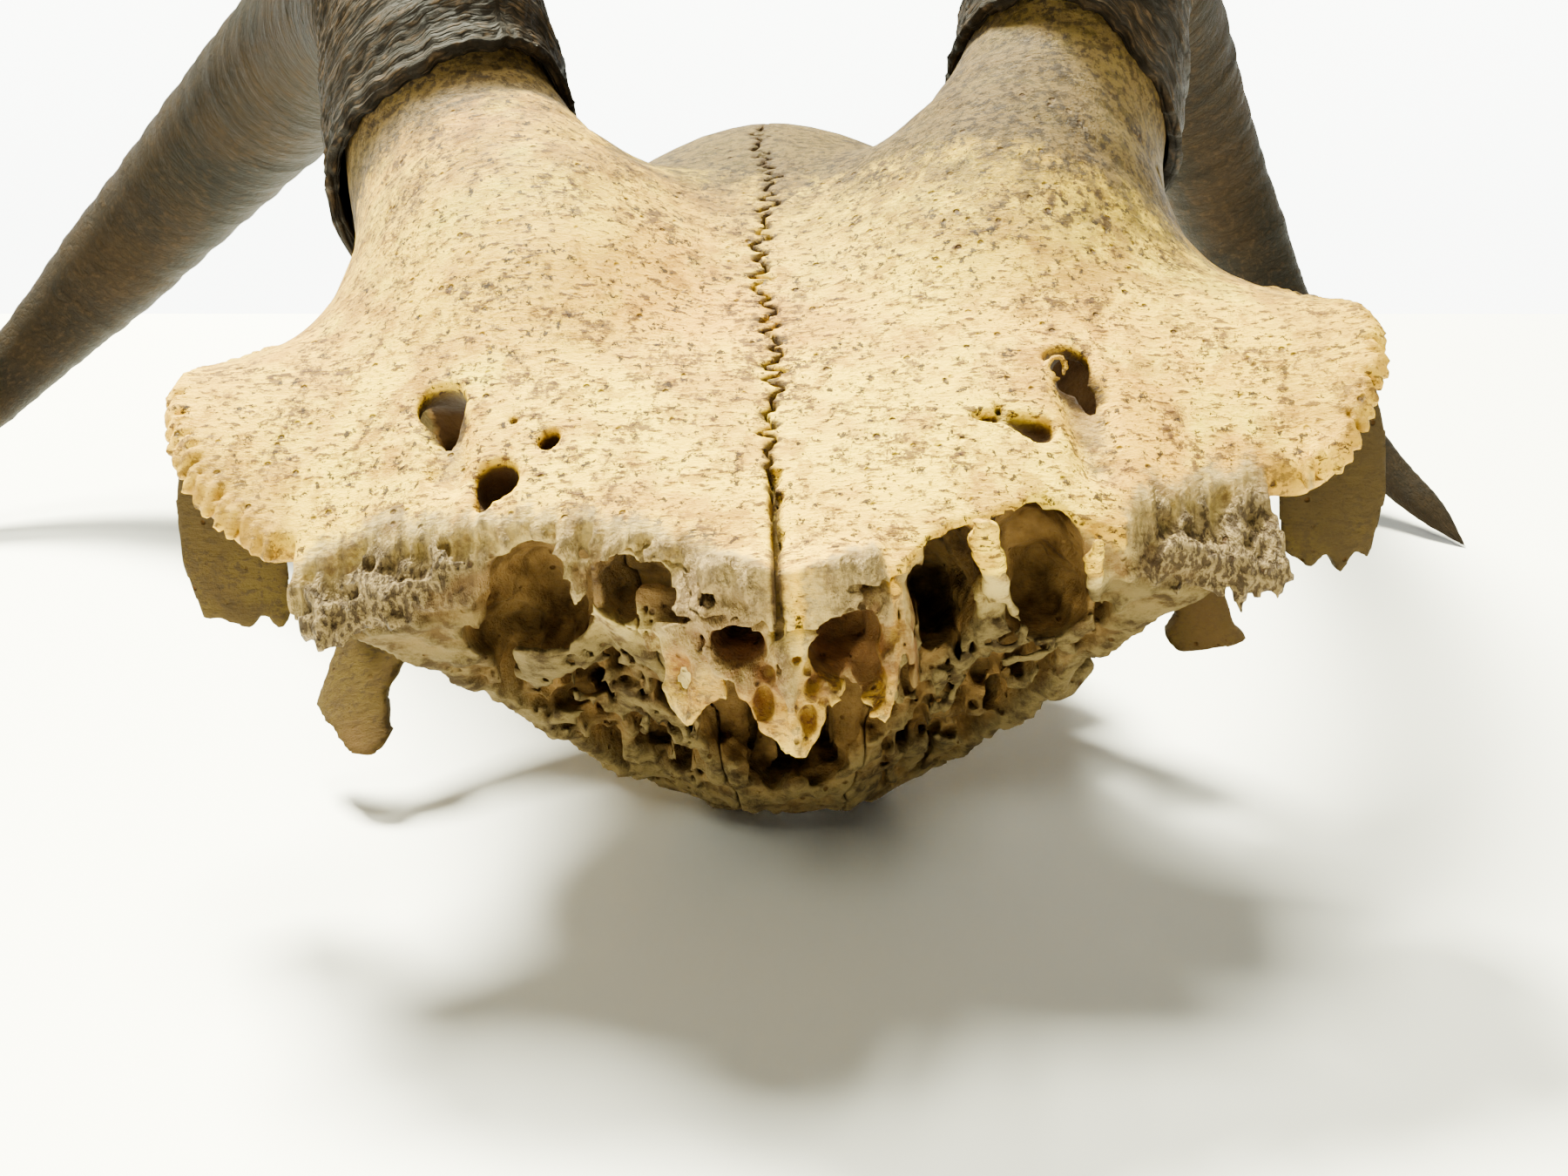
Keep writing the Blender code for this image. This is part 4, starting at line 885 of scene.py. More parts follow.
def beyond(plane, grid, sway=0.0, back=False):
    """Distance beyond a suture's plane, with a natural sway in it."""
    away = half_space(*plane)(*grid)
    if sway:
        away = away + sway * (random_field(grid, 3.0, 61) + 0.4 * random_field(grid, 1.2, 62))
    return -away if back else away


def sieve_region(clay):
    """The sieve bone's place between the two frontal bones."""
    grid = clay.grid
    x, _, z = grid
    inner = (np.abs(x) - 14 - 0.2 * (z - 50)) * 0.98
    inner = inner + 1.1 * random_field(grid, 3.0, 63)
    region = np.maximum(inner, np.maximum(beyond(SIEVE_TOP, grid, 0.8), (z - clay.roof - 0.2) * 0.85))
    region = np.maximum(region, beyond(CORONAL, grid))
    return np.maximum(region, beyond(SPHENOID_TOP, grid, 0, True))


def temple_region(grid, way):
    """A temple bone's place, low on one side of the braincase."""
    inner = beyond(((way * 30, 0, 58), (way * -0.939, 0, 0.343)), grid, 0.5)
    region = np.maximum(inner, beyond(TEMPLE_FRONT, grid, 0.5))
    region = np.maximum(region, beyond(TEMPLE_TOP, grid, 0.7))
    return np.maximum(region, beyond(LAMBDOID, grid))


def beside_temples(clay, region):
    """A region without both temple bones."""
    for way in (-1, 1):
        region = np.maximum(region, -temple_region(clay.grid, way))
    return region


def keep(clay, region, gap=GAP):
    """Leaves what lies inside a region, drawn in by half the cut."""
    clay.depth = np.maximum(clay.depth, region + gap / 2)


# Stains that water and the last tissue left: centre, radius and strength.
STAINS = (
    ((-3.3, 6, 44.4), 4.2, 1.0), ((8.5, 6, 43), 4.0, 0.95), ((5, 9, 43), 5, 0.9),
    ((-0.9, 1.8, 42.2), 2.2, 1.0), ((-1.4, 2, 39.8), 2.6, 1.0), ((3.0, 2, 41.2), 2.1, 1.0),
    ((2.3, 1.6, 38.0), 1.7, 0.9), ((-9.0, 5.4, 41.8), 2.4, 0.95), ((11.4, 8, 42), 3.4, 0.95),
    ((-6.0, 4.5, 39.5), 1.6, 0.7), ((6.0, 2, 38.4), 1.6, 0.8), ((-21.6, 38, 69.1), 1.7, 1.0),
    ((-22.0, 35, 67.6), 1.5, 0.8), ((-54, 52, 68), 6.5, 0.6), ((-47, 58, 71), 5, 0.35),
    ((-57, 59, 11.5), 3.6, 1.0), ((-63.5, 59, 16), 3.4, 1.0), ((-51.5, 60, 21), 3.0, 0.8),
    ((54, 60, 22), 7.5, 0.8), ((-26.4, 21, 56.4), 1.9, 0.8), ((-21, 22.4, 57.8), 1.3, 0.7),
)


def bone_shares(x, y, z):
    """What the bone's colours follow: hollows, rough suture, midline seam, rims, horn roots, stains and
    painted shade.
    """
    side = np.abs(x)
    height = forehead_height(x, y)
    depth = break_depth(x, y, z)
    # Hollows behind the break, and the canals and holes through the plate: their own brown, with painted
    # shade deeper in
    walled = fade(socket_wall(y, z) - side - 0.3, 0.8)
    hollow = fade(depth + 0.3, 3.0) * fade(height - z - 2.2, 1.0) * walled * (y < 50)
    outline = outline_distance(x, y)
    canals = fade(height - z - 1.0, 2) * (y < 44) * ((np.abs(side - 31.5) < 4) & (y > 21))
    small = (side > 20) & (side < 28) & (y > 17.5) & (y < 25)
    canals = np.maximum(canals, fade(height - z - 0.8, 1.2) * small)
    hollow = np.maximum(hollow, canals * fade(z - 48, 3))
    # Socket rims, the midline suture and painted shade inside the vessels' holes
    rims = np.clip(1 + (outline + 1) / 9, 0, 1) * fade(side - 44, 4) * fade(60 - y, 6)
    top = fade(z - height + 2.5, 1.5)
    beside = np.abs(x - zigzag(y))
    seam = np.exp(-((beside / 0.7) ** 2)) * top * (y < 98)
    painted_hole_shade = fade(height - z - 0.3, 0.6) * (np.abs(side - 31) < 4) * (y > 24.8) * (y < 44) * (z > 46)
    small = (side > 19) * (side < 28) * (y > 17) * (y < 25) * (z > 50)
    painted_hole_shade = np.maximum(painted_hole_shade, fade(height - z - 0.5, 0.6) * small)
    # The sieve bone's two tubes, browner inside, partly as painted shade
    for x0, z0, wide, tall in ((-3.3, 44.6, 3.0, 2.6), (6.8, 42.8, 4.6, 5.0)):
        inside = 1.25 - np.sqrt(((x - x0) / wide) ** 2 + ((z - z0) / tall) ** 2)
        inside = np.clip(inside * 3, 0, 0.8) * fade(y - 1.8 - 0.06 * x * x, 1.5)
        hollow = np.maximum(hollow, inside * (y < 20))
    seam = np.maximum(seam, (beside < 0.4) * fade(height - z - 0.3, 0.6) * (z > height - 7) * (y > 1.8))
    # Grey bone round the horns' roots and on the ridges between them and the rims, darker close under the
    # sheaths, and faintly grey over the skull's left half
    points = np.stack([x, y, z], 1)
    roots = []
    for way, weight in ((-1, 0.45), (1, 1.0)):
        line, ahead = horn_line(way)[:2]
        start, lean = stood_up(np.array([line[0], line[0] + ahead[2]]))
        along = (points - start) @ (lean - start)
        close = np.linalg.norm(points - start, axis=1) < 60
        roots.append(fade(along + 50, 30) ** 1.2 * close * weight)
        roots.append(fade(along + 17, 12) * close)
    ridge = fade(outline + 11, 8) * fade(x - 34, 8) * fade(y - 38, 8) * (z > 40)
    roots.append(0.8 * ridge)
    roots.append(0.08 * fade(x - 4, 14) * (z > 40))
    stain = np.zeros(len(x))
    for centre, radius, strength in STAINS:
        apart = ((points - centre) ** 2).sum(1)
        stain = np.maximum(stain, strength * np.exp(-apart / radius**2))
    # Bars under the rims and the sinuses' thin walls, their own duller tones darkened by painted shade, and
    # painted shade on the sponge and under-surfaces below them
    hanging = fade(side - 46, 4) * fade(height - z - 4, 3)
    hanging = np.maximum(hanging, (side > 34) * (y > 56) * fade(40 - z, 3))
    # Painted shade below the plate's top, over the thin walls' duller tone
    inner = fade(height - z - 1.2, 1.5) * fade(48 - side, 3) * fade(60 - y, 10)
    cups = fade(11.5 - side, 1.5) * fade(8 - y, 2) * (z > 33)
    shade = fade(46 - z, 6) * fade(side - 9.5, 2.5)
    shade = np.maximum(shade, np.maximum(fade(28 - z, 8), fade(y - 14 - 0.5 * side, 8) * (z < 40)))
    shade = np.maximum(shade, fade(height - z - 4, 2) * fade(side - 20, 4))
    shade = shade * fade(100 - y, 10) * fade(height - z - 3.5, 2)
    return {
        "hollow": hollow,
        "spongy": fluted(x, y, z),
        "seam": seam,
        "hole_shade": painted_hole_shade,
        "rim": rims,
        "root": np.maximum.reduce(roots),
        "stain": stain,
        "inner": inner * (1 - fluted(x, y, z)) * (1 - 0.5 * cups),
        "verge": np.clip(fluted(x, y - 1.4, z) * 3, 0, 1),
        # Painted shade on the sponge and under-surfaces below the sinuses
        "painted_shade": shade * (1 - hanging),
        # Painted shade over the olive-brown of the bars under the rims and of the cheek stumps; the skull's
        # back darker too
        "under": np.maximum(hanging, fade(y - 98, 12)),
    }


# Bone's finish. Old dry bone, cream to ivory with tan clouds, brown pores and grey where it has weathered.
# Rough breaks are grey-white, hollows orange-brown. Painted shade darkens the hollows and holes, the bars and
# the sponge under the forehead. Waxed nowhere, so it only shines faintly.


def linear(hexa):
    """A linear colour with full alpha from sRGB hex."""
    parts = [int(hexa[i : i + 2], 16) / 255 for i in (1, 3, 5)]
    return (*(c / 12.92 if c <= 0.04045 else ((c + 0.055) / 1.055) ** 2.4 for c in parts), 1)


def node(tree, kind, *inputs, take=None, **settings):
    """Adds a shader node and gives one output. Its inputs come in order, each a value or another output."""
    made = tree.nodes.new("ShaderNode" + kind)
    for name, value in settings.items():
        setattr(made, name, value)
    for place, value in zip([place for place in made.inputs if place.enabled], inputs):
        if isinstance(value, bpy.types.NodeSocket):
            tree.links.new(value, place)
        elif value is not None:
            place.default_value = value
    return made.outputs[take] if take else next(end for end in made.outputs if end.enabled)


def bone_material():
    """Old dry bone, from the noises in it and the shares that each piece keeps on its points."""
    finish = bpy.data.materials.new("old dry bone")
    finish.use_nodes = True
    tree = finish.node_tree
    shader = tree.nodes["Principled BSDF"]
    coords = node(tree, "TexCoord", take="Object")
    marks = {}
    shares = "root", "rim", "under", "painted_shade", "verge", "spongy", "inner", "hollow", "stain", "seam", "hole_shade"
    for name in shares:
        marks[name] = node(tree, "Attribute", take="Fac", attribute_name=name)
    # Noises by their number of marks a metre, detail and roughness
    for name, per_metre, detail, rough in (
        ("clouds", 45, 4, 0.55),  # 22 mm clouds of cream and tan
        ("butter", 90, 4, 0.55),  # 11 mm patches where fat is left
        ("amber", 130, 6, 0.6),  # 8 mm water stains
        ("mottle", 330, 8, 0.72),  # 3 mm mottling
        ("clusters", 150, 6, 0.75),  # 7 mm groups of specks
        ("dots", 800, 5, 0.75),  # 1.3 mm specks
        ("fine", 1000, 5, 0.7),  # 1 mm flecks
        ("patches", 260, 8, 0.75),  # 4 mm patches of grey
        ("warm", 120, 4, 0.55),  # 8 mm honey patches
        ("caked", 170, 5, 0.55),  # 6 mm cakes of brown
        ("dried", 300, 6, 0.7),  # 3 mm shreds of dried tissue
        ("sparse", 300, 2, 0.55),  # 3 mm gaps between pores
        ("crumbs", 900, 6, 0.75),  # 1.1 mm crumbs
    ):
        marks[name] = node(tree, "TexNoise", coords, per_metre, detail, rough)
    # Streaks 0.7 mm wide and 1.8 mm long across the bone, and flutes 0.5 by 1.4 mm in the suture's face
    for name, turn, scale, detail, rough in (
        ("streaks", 0.0, (560, 1400, 1400), 6, 0.7),
        ("flutes", 0.6, (1900, 700, 1100), 4, 0.6),
    ):
        drawn = node(tree, "Mapping", coords, (0, 0, 0), (0, 0, turn), scale)
        marks[name] = node(tree, "TexNoise", drawn, 1, detail, rough)
    marks["cells"] = node(tree, "TexVoronoi", coords, 520)
    # Parts of these, by where each starts and ends and what it then rises from and to
    for name, source, *limits in (
        ("specks", "dots", 0.48, 0.54, 0, 1),
        ("worn", "patches", 0.36, 0.54, 0.35, 1),
        ("bare", "root", 0.72, 0.9, 0, 0.96),
        ("film", "clouds", 0.3, 0.7, 0.97, 0.88),
        ("blot", "dried", 0.35, 0.55, 0.6, 1),
        ("few", "sparse", 0.50, 0.58, 0, 1),
        ("dimples", "cells", 0.20, 0.10, 0, 1),
    ):
        marks[name] = node(tree, "MapRange", marks[source], *limits)
    marks["weathered"] = node(tree, "Math", marks["root"], marks["worn"], operation="MULTIPLY")
    marks["weathered"] = node(tree, "MapRange", marks["weathered"], 0, 0.8, 0, 0.95)
    marks["weathered"] = node(tree, "Math", marks["weathered"], marks["bare"], operation="MAXIMUM")
    marks["pore"] = node(tree, "Math", marks["dimples"], marks["few"], operation="MULTIPLY")
    for name, source, low, high, first, last in (
        ("cream and tan", "clouds", 0.36, 0.66, "#FFD60A", "#E2A81E"),
        ("grey root", "specks", 0, 1, "#554427", "#2A1F13"),
        ("thin crust", "mottle", 0.46, 0.58, "#A08A58", "#665336"),
        # The thin walls' tone, darkened for painted shade
        ("pale wall", "mottle", 0.46, 0.6, "#AC9558", "#62492A"),
        # The painted shade's dark olive colours
        ("painted_shade_colour", "mottle", 0.44, 0.6, "#584B31", "#2C2418"),
        # The caves' own brown, dark enough to stand for their painted shade
        ("brown cave", "caked", 0.4, 0.65, "#806238", "#3A2610"),
        ("dried tissue", "under", 0, 1, "#6C4120", "#523F26"),
    ):
        part = node(tree, "MapRange", marks[source], low, high)
        marks[name] = node(tree, "Mix", part, linear(first), linear(last), data_type="RGBA")
    # Coats from the bottom up: what each follows and between which values, within what, how strong
    colour = marks["cream and tan"]
    for source, low, high, within, strength, coat in (
        ("butter", 0.53, 0.68, 1, 0.75, "#FFE01C"),  # fat that is left in the bone
        ("amber", 0.48, 0.62, 1, 0.65, "#B88420"),  # tan water stains
        ("mottle", 0.53, 0.59, 1, 0.55, "#8C5E16"),  # brown mottling
        ("clusters", 0.50, 0.58, "specks", 0.9, "#5A3E1E"),  # dark specks in groups
        ("streaks", 0.55, 0.60, 1, 0.9, "#4C3014"),  # dirt in fine vessel grooves
        ("fine", 0.58, 0.61, 1, 0.95, "#2C1C0D"),  # blackish flecks
        ("weathered", 0, 1, 1, 1, "grey root"),  # bone weathered grey round the horns' roots; darker close under the sheaths, faintly grey over the left half
        ("warm", 0.42, 0.62, "rim", 0.7, "#94701E"),  # honey-brown socket rims
        ("under", 0, 1, 1, 0.97, "#392F20"),  # olive-brown bars below the rims and the cheek stumps, darkened by painted shade; the skull's back darker too
        ("verge", 0, 1, 1, 0.85, "thin crust"),  # worn edge of the rough suture face
        ("spongy", 0.05, 0.75, 1, 1, "#86714A"),  # the rough suture face itself
        ("flutes", 0.55, 0.46, "spongy", 0.85, "#34261A"),  # dirt in its flutes
        ("inner", 0, 1, 1, 0.95, "pale wall"),  # the sinuses' thin walls: their duller tone, darkened by painted shade below the plate
        ("painted_shade", 0, 1, "film", 1, "painted_shade_colour"),  # painted shade on the sponge and under-surfaces below them
        ("hollow", 0.05, 0.8, 1, 0.95, "brown cave"),  # deep caves and tubes: their own brown, darkened by painted shade deeper in
        ("stain", 0, 1, "blot", 1, "dried tissue"),  # the last of the tissue, dried on
        ("pore", 0, 1, 1, 0.85, "#3F2911"),  # pores 2 mm apart
        ("seam", 0.3, 0.75, 1, 0.9, "#3D2A12"),  # dirt in the zigzag suture
        ("hole_shade", 0, 1, 1, 0.9, "#2C1A0A"),  # painted shade in the vessels' holes
    ):
        amount = node(tree, "MapRange", marks[source], low, high, 0, strength)
        amount = node(tree, "Math", amount, marks.get(within, within), operation="MULTIPLY")
        coat = marks[coat] if coat in marks else linear(coat)
        colour = node(tree, "Mix", amount, colour, coat, data_type="RGBA")
    # Relief, each part by weight
    relief = 0.0
    for source, within, weight in (
        ("streaks", 1, 0.6),  # raised streaks
        ("mottle", 1, 0.5),  # worn hollows
        ("pore", 1, -0.6),  # pores
        ("hollow", "crumbs", 0.8),  # crumbly caves
        ("root", "crumbs", 0.8),  # weathered horn roots
        ("spongy", "flutes", 3.0),  # deep flutes
    ):
        part = node(tree, "Math", marks[source], marks.get(within, within), operation="MULTIPLY")
        relief = node(tree, "Math", part, weight, relief, operation="MULTIPLY_ADD")
    rough = node(tree, "MapRange", marks["mottle"], 0.3, 0.7, 0.5, 0.75)
    gloss = node(tree, "Math", marks["under"], marks["painted_shade"], operation="MAXIMUM")
    gloss = node(tree, "MapRange", gloss, 0, 1, 0.12, 0.01)
    shader.inputs["IOR"].default_value = 1.5
    tree.links.new(colour, shader.inputs["Base Color"])
    tree.links.new(rough, shader.inputs["Roughness"])
    tree.links.new(gloss, shader.inputs["Specular IOR Level"])
    tree.links.new(node(tree, "Bump", 0.9, 0.0009, None, relief), shader.inputs["Normal"])
    return finish


BONE = bone_material()


def finish_bone(clay, name):
    """Makes a piece of the shaped clay, with the bone's look, for the node of that name."""
    piece = clay.mesh(name + "_bone", bone_shares)
    piece.data.materials.append(BONE)
    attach(piece, "root")
    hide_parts(name)


# Frontal bones, one each side of the zigzag suture, of solid bone over the open sinuses. The horn core
# grows from each, and the rough grey face in front is where the nose's bones broke off.

FINE_STEP = 0.5  # of the grid, for teeth and crimps about a millimetre wide
FRONTAL_BLOCKS = {-1: ((-70, -4, 2), (3.5, 106, 112)), 1: ((-3.5, -4, 2), (70, 106, 118))}

for name, way in (("frontal_right", -1), ("frontal_left", 1)):
    clay = Clay(*FRONTAL_BLOCKS[way], FINE_STEP)
    shape_skull(clay)
    open_front(clay)
    carve_holes(clay)
    region = np.maximum(beyond(CORONAL, clay.grid), beyond(SPHENOID_TOP, clay.grid, 0, True))
    line = zigzag(clay.axes[1])[None, :, None].astype(np.float32)
    calm = 1 / np.sqrt(1 + np.clip(np.gradient(line[0, :, 0], clay.step), -2, 2) ** 2)[None, :, None]
    region = np.maximum(region, -way * (clay.grid[0] - line) * calm)
    region = np.maximum(region, 0.04 - GAP / 2 - sieve_region(clay))
    region = np.maximum(region, -temple_region(clay.grid, way))
    keep(clay, region)
    finish_bone(clay, name)

# Sieve bone. Thin as paper: the nose's upright plate, the cups beside it and the scrolls that hang behind,
# all broken off in front. It is wedged between the two frontal bones.

THIN_STEP = 0.42  # of the grid, for plates 0.7 mm thick

clay = Clay((-17, -3, 4), (17, 90, 60), THIN_STEP)
shape_skull(clay)
open_front(clay)
keep(clay, sieve_region(clay), 0.08)
finish_bone(clay, "ethmoid")

# Base of the skull. A thick beam of bone under the brain, pierced by its vessels and nerves. The skull
# stands on its two broken stumps and on the horns' tips.

COARSE_STEP = 0.6  # of the grid, where the bone is smooth

clay = Clay((-42, 40, 0), (42, 124, 40), COARSE_STEP)
shape_skull(clay)
carve_holes(clay)
region = np.maximum(beyond(SPHENOID_TOP, clay.grid), beyond(LAMBDOID, clay.grid))
keep(clay, beside_temples(clay, region))
finish_bone(clay, "sphenoid")

# Braincase roof. A smooth vault of bone behind the horns, joined to the frontal bones at the crown and to
# the back of the skull at the crest.

clay = Clay((-36, 76, 20), (36, 124, 92), COARSE_STEP)
shape_skull(clay)
region = np.maximum(beyond(CORONAL, clay.grid, 0, True), beyond(LAMBDOID, clay.grid))
region = np.maximum(region, beyond(SPHENOID_TOP, clay.grid, 0, True))
keep(clay, beside_temples(clay, region))
finish_bone(clay, "parietal")

# Back of the skull. Rough bone where the neck's muscles held, with the spinal cord's hole between the two
# joint knobs and a spur each side.

clay = Clay((-42, 98, 0), (42, 143, 74), COARSE_STEP)
shape_skull(clay)
carve_holes(clay)
keep(clay, beyond(LAMBDOID, clay.grid, 0, True))
finish_bone(clay, "occipital")

# Temple bones. One each side, low on the braincase, with the ear's bulb and the cheek arch's stump, which
# droops on the right.

TEMPLE_BLOCKS = {-1: ((-64, 48, 2), (-8, 122, 62)), 1: ((8, 48, 2), (64, 122, 62))}

for name, way in (("temporal_right", -1), ("temporal_left", 1)):
    clay = Clay(*TEMPLE_BLOCKS[way], COARSE_STEP)
    shape_skull(clay)
    keep(clay, temple_region(clay.grid, way))
    add_cheek(clay, way)
    carve_holes(clay)
    finish_bone(clay, name)

# Horn sheaths. Hollow black-brown horn that has slipped a little down the cores: its edge is torn and curls
# out, the lower part is finely wrinkled, and growth rings run most of the way to the tip.

RIM_SLIP = {-1: (-1.2, 0.4, 0.0), 1: (-2.4, 3.4, -1.05)}  # slip, tilt and the way it tilts
RIM_EASE = 14.0  # how far along the horn the torn edge is felt
SHEATH_POINT = 0.8  # share by which the last third narrows to its point
POINT_LENGTH = 14
MIDDLE_BULGE = 0.22
RING_SPACING = (7.5, 12.5)
WRINKLED_LENGTH = 62
ROW_STEP = {"wrinkled": 0.36, "smooth": 0.85}
AROUND = 144  # points in each row


def sheath_material():
    """Weathered horn: dusty flakes with cracks between them near the root, and growth bands beyond."""
    finish = bpy.data.materials.new("weathered horn")
    finish.use_nodes = True
    tree = finish.node_tree
    shader = tree.nodes["Principled BSDF"]
    along = node(tree, "TexCoord", take="UV")
    place = node(tree, "TexCoord", take="Object")
    marks = {name: node(tree, "Attribute", take="Fac", attribute_name=name) for name in ("age", "groove_and_hollow_shade")}
    # Drawn out by their number of marks along the horn and round it
    for name, scale, detail, rough in (
        ("fibres", (230, 46, 1), 7, 0.7),  # flakes 0.8 by 2.5 mm near the root, 1.8 mm long beyond
        ("bands", (60, 4, 1), 5, 0.6),  # growth bands, 3 mm near the root and 7 mm beyond
    ):
        drawn = node(tree, "Mapping", along, (0, 0, 0), (0, 0, 0), scale)
        marks[name] = node(tree, "TexNoise", drawn, 1, detail, rough)
    for name, per_metre, detail, rough in (
        ("patches", 75, 5, 0.6),  # 13 mm patches of brown and black
        ("fine", 700, 5, 0.7),  # 1.4 mm grain
        ("blotch", 48, 3, 0.5),  # 21 mm blotches
    ):
        marks[name] = node(tree, "TexNoise", place, per_metre, detail, rough)
    marks["young"] = node(tree, "MapRange", marks["age"], 0, 1, 1, 0.25)
    drawn = node(tree, "Mapping", along, (0, 0, 0), (0, 0, 0), (230, 22, 1))
    cells = node(tree, "TexVoronoi", drawn, 1, feature="DISTANCE_TO_EDGE")
    cells = node(tree, "MapRange", cells, 0.16, 0.02)
    marks["cracks"] = node(tree, "Math", cells, marks["young"], operation="MULTIPLY")
    # Coats from the bottom up: what each follows and between which values, within what, how strong
    colour = node(tree, "MapRange", marks["patches"], 0.42, 0.62)
    colour = node(tree, "Mix", colour, linear("#15100A"), linear("#241A0E"), data_type="RGBA")
    for source, low, high, within, strength, coat in (
        ("bands", 0.42, 0.62, "age", 0.8, "#1D1406"),  # olive-brown growth bands on old horn
        ("blotch", 0.50, 0.62, "age", 0.75, "#0D0C07"),  # black blotches on it
        ("fibres", 0.5, 0.66, "young", 0.68, "#5A4733"),  # dusty flakes near the root
        ("cracks", 0, 1, 1, 0.85, "#0E0A06"),  # dark cracks between them
        ("fine", 0.55, 0.7, 1, 0.6, "#100B06"),  # black grain
        ("groove_and_hollow_shade", 0, 1, 1, 0.75, "#0C0805"),  # darker in the wrinkles' valleys, and painted shade inside the sheath's hollow
    ):
        amount = node(tree, "MapRange", marks[source], low, high, 0, strength)
        amount = node(tree, "Math", amount, marks.get(within, within), operation="MULTIPLY")
        colour = node(tree, "Mix", amount, colour, linear(coat), data_type="RGBA")
    relief = 0.0
    for source, weight in (("fibres", 1.0), ("fine", 0.5), ("cracks", -0.5)):
        relief = node(tree, "Math", marks[source], weight, relief, operation="MULTIPLY_ADD")
    rough = node(tree, "MapRange", marks["fibres"], 0.3, 0.7, 0.55, 0.8)
    shader.inputs["IOR"].default_value = 1.55
    shader.inputs["Specular IOR Level"].default_value = 0.06
    tree.links.new(colour, shader.inputs["Base Color"])
    tree.links.new(rough, shader.inputs["Roughness"])
    tree.links.new(node(tree, "Bump", 0.7, 0.0007, None, relief), shader.inputs["Normal"])
    return finish


HORN = sheath_material()


def wave(values, size, seed, period=None):
    """Smooth random values from -1 to 1 along a line or round a ring."""
    count = int(period / size) if period else 4096
    lattice = np.random.default_rng(seed).uniform(-1, 1, count)
    place = np.asarray(values, float) / (period / count if period else size)
    cell = np.floor(place).astype(int)
    share = place - cell
    share = share * share * (3 - 2 * share)
    return lattice[cell % count] * (1 - share) + lattice[(cell + 1) % count] * share


def crinkle(along, angle, size, turns, seed):
    """Smooth random values from -1 to 1 over a horn's skin, in short wrinkles across it."""
    lattice = np.random.default_rng(seed).uniform(-1, 1, (512, turns))
    row, column = along / size, (angle / (2 * math.pi) + 0.31 * along / size) * turns
    i, j = np.floor(row).astype(int), np.floor(column).astype(int)
    a, b = row - i, column - j
    a, b = a * a * (3 - 2 * a), b * b * (3 - 2 * b)
    near = lattice[i % 512, j % turns] * (1 - b) + lattice[i % 512, (j + 1) % turns] * b
    far = lattice[(i + 1) % 512, j % turns] * (1 - b) + lattice[(i + 1) % 512, (j + 1) % turns] * b
    return near * (1 - a) + far * a


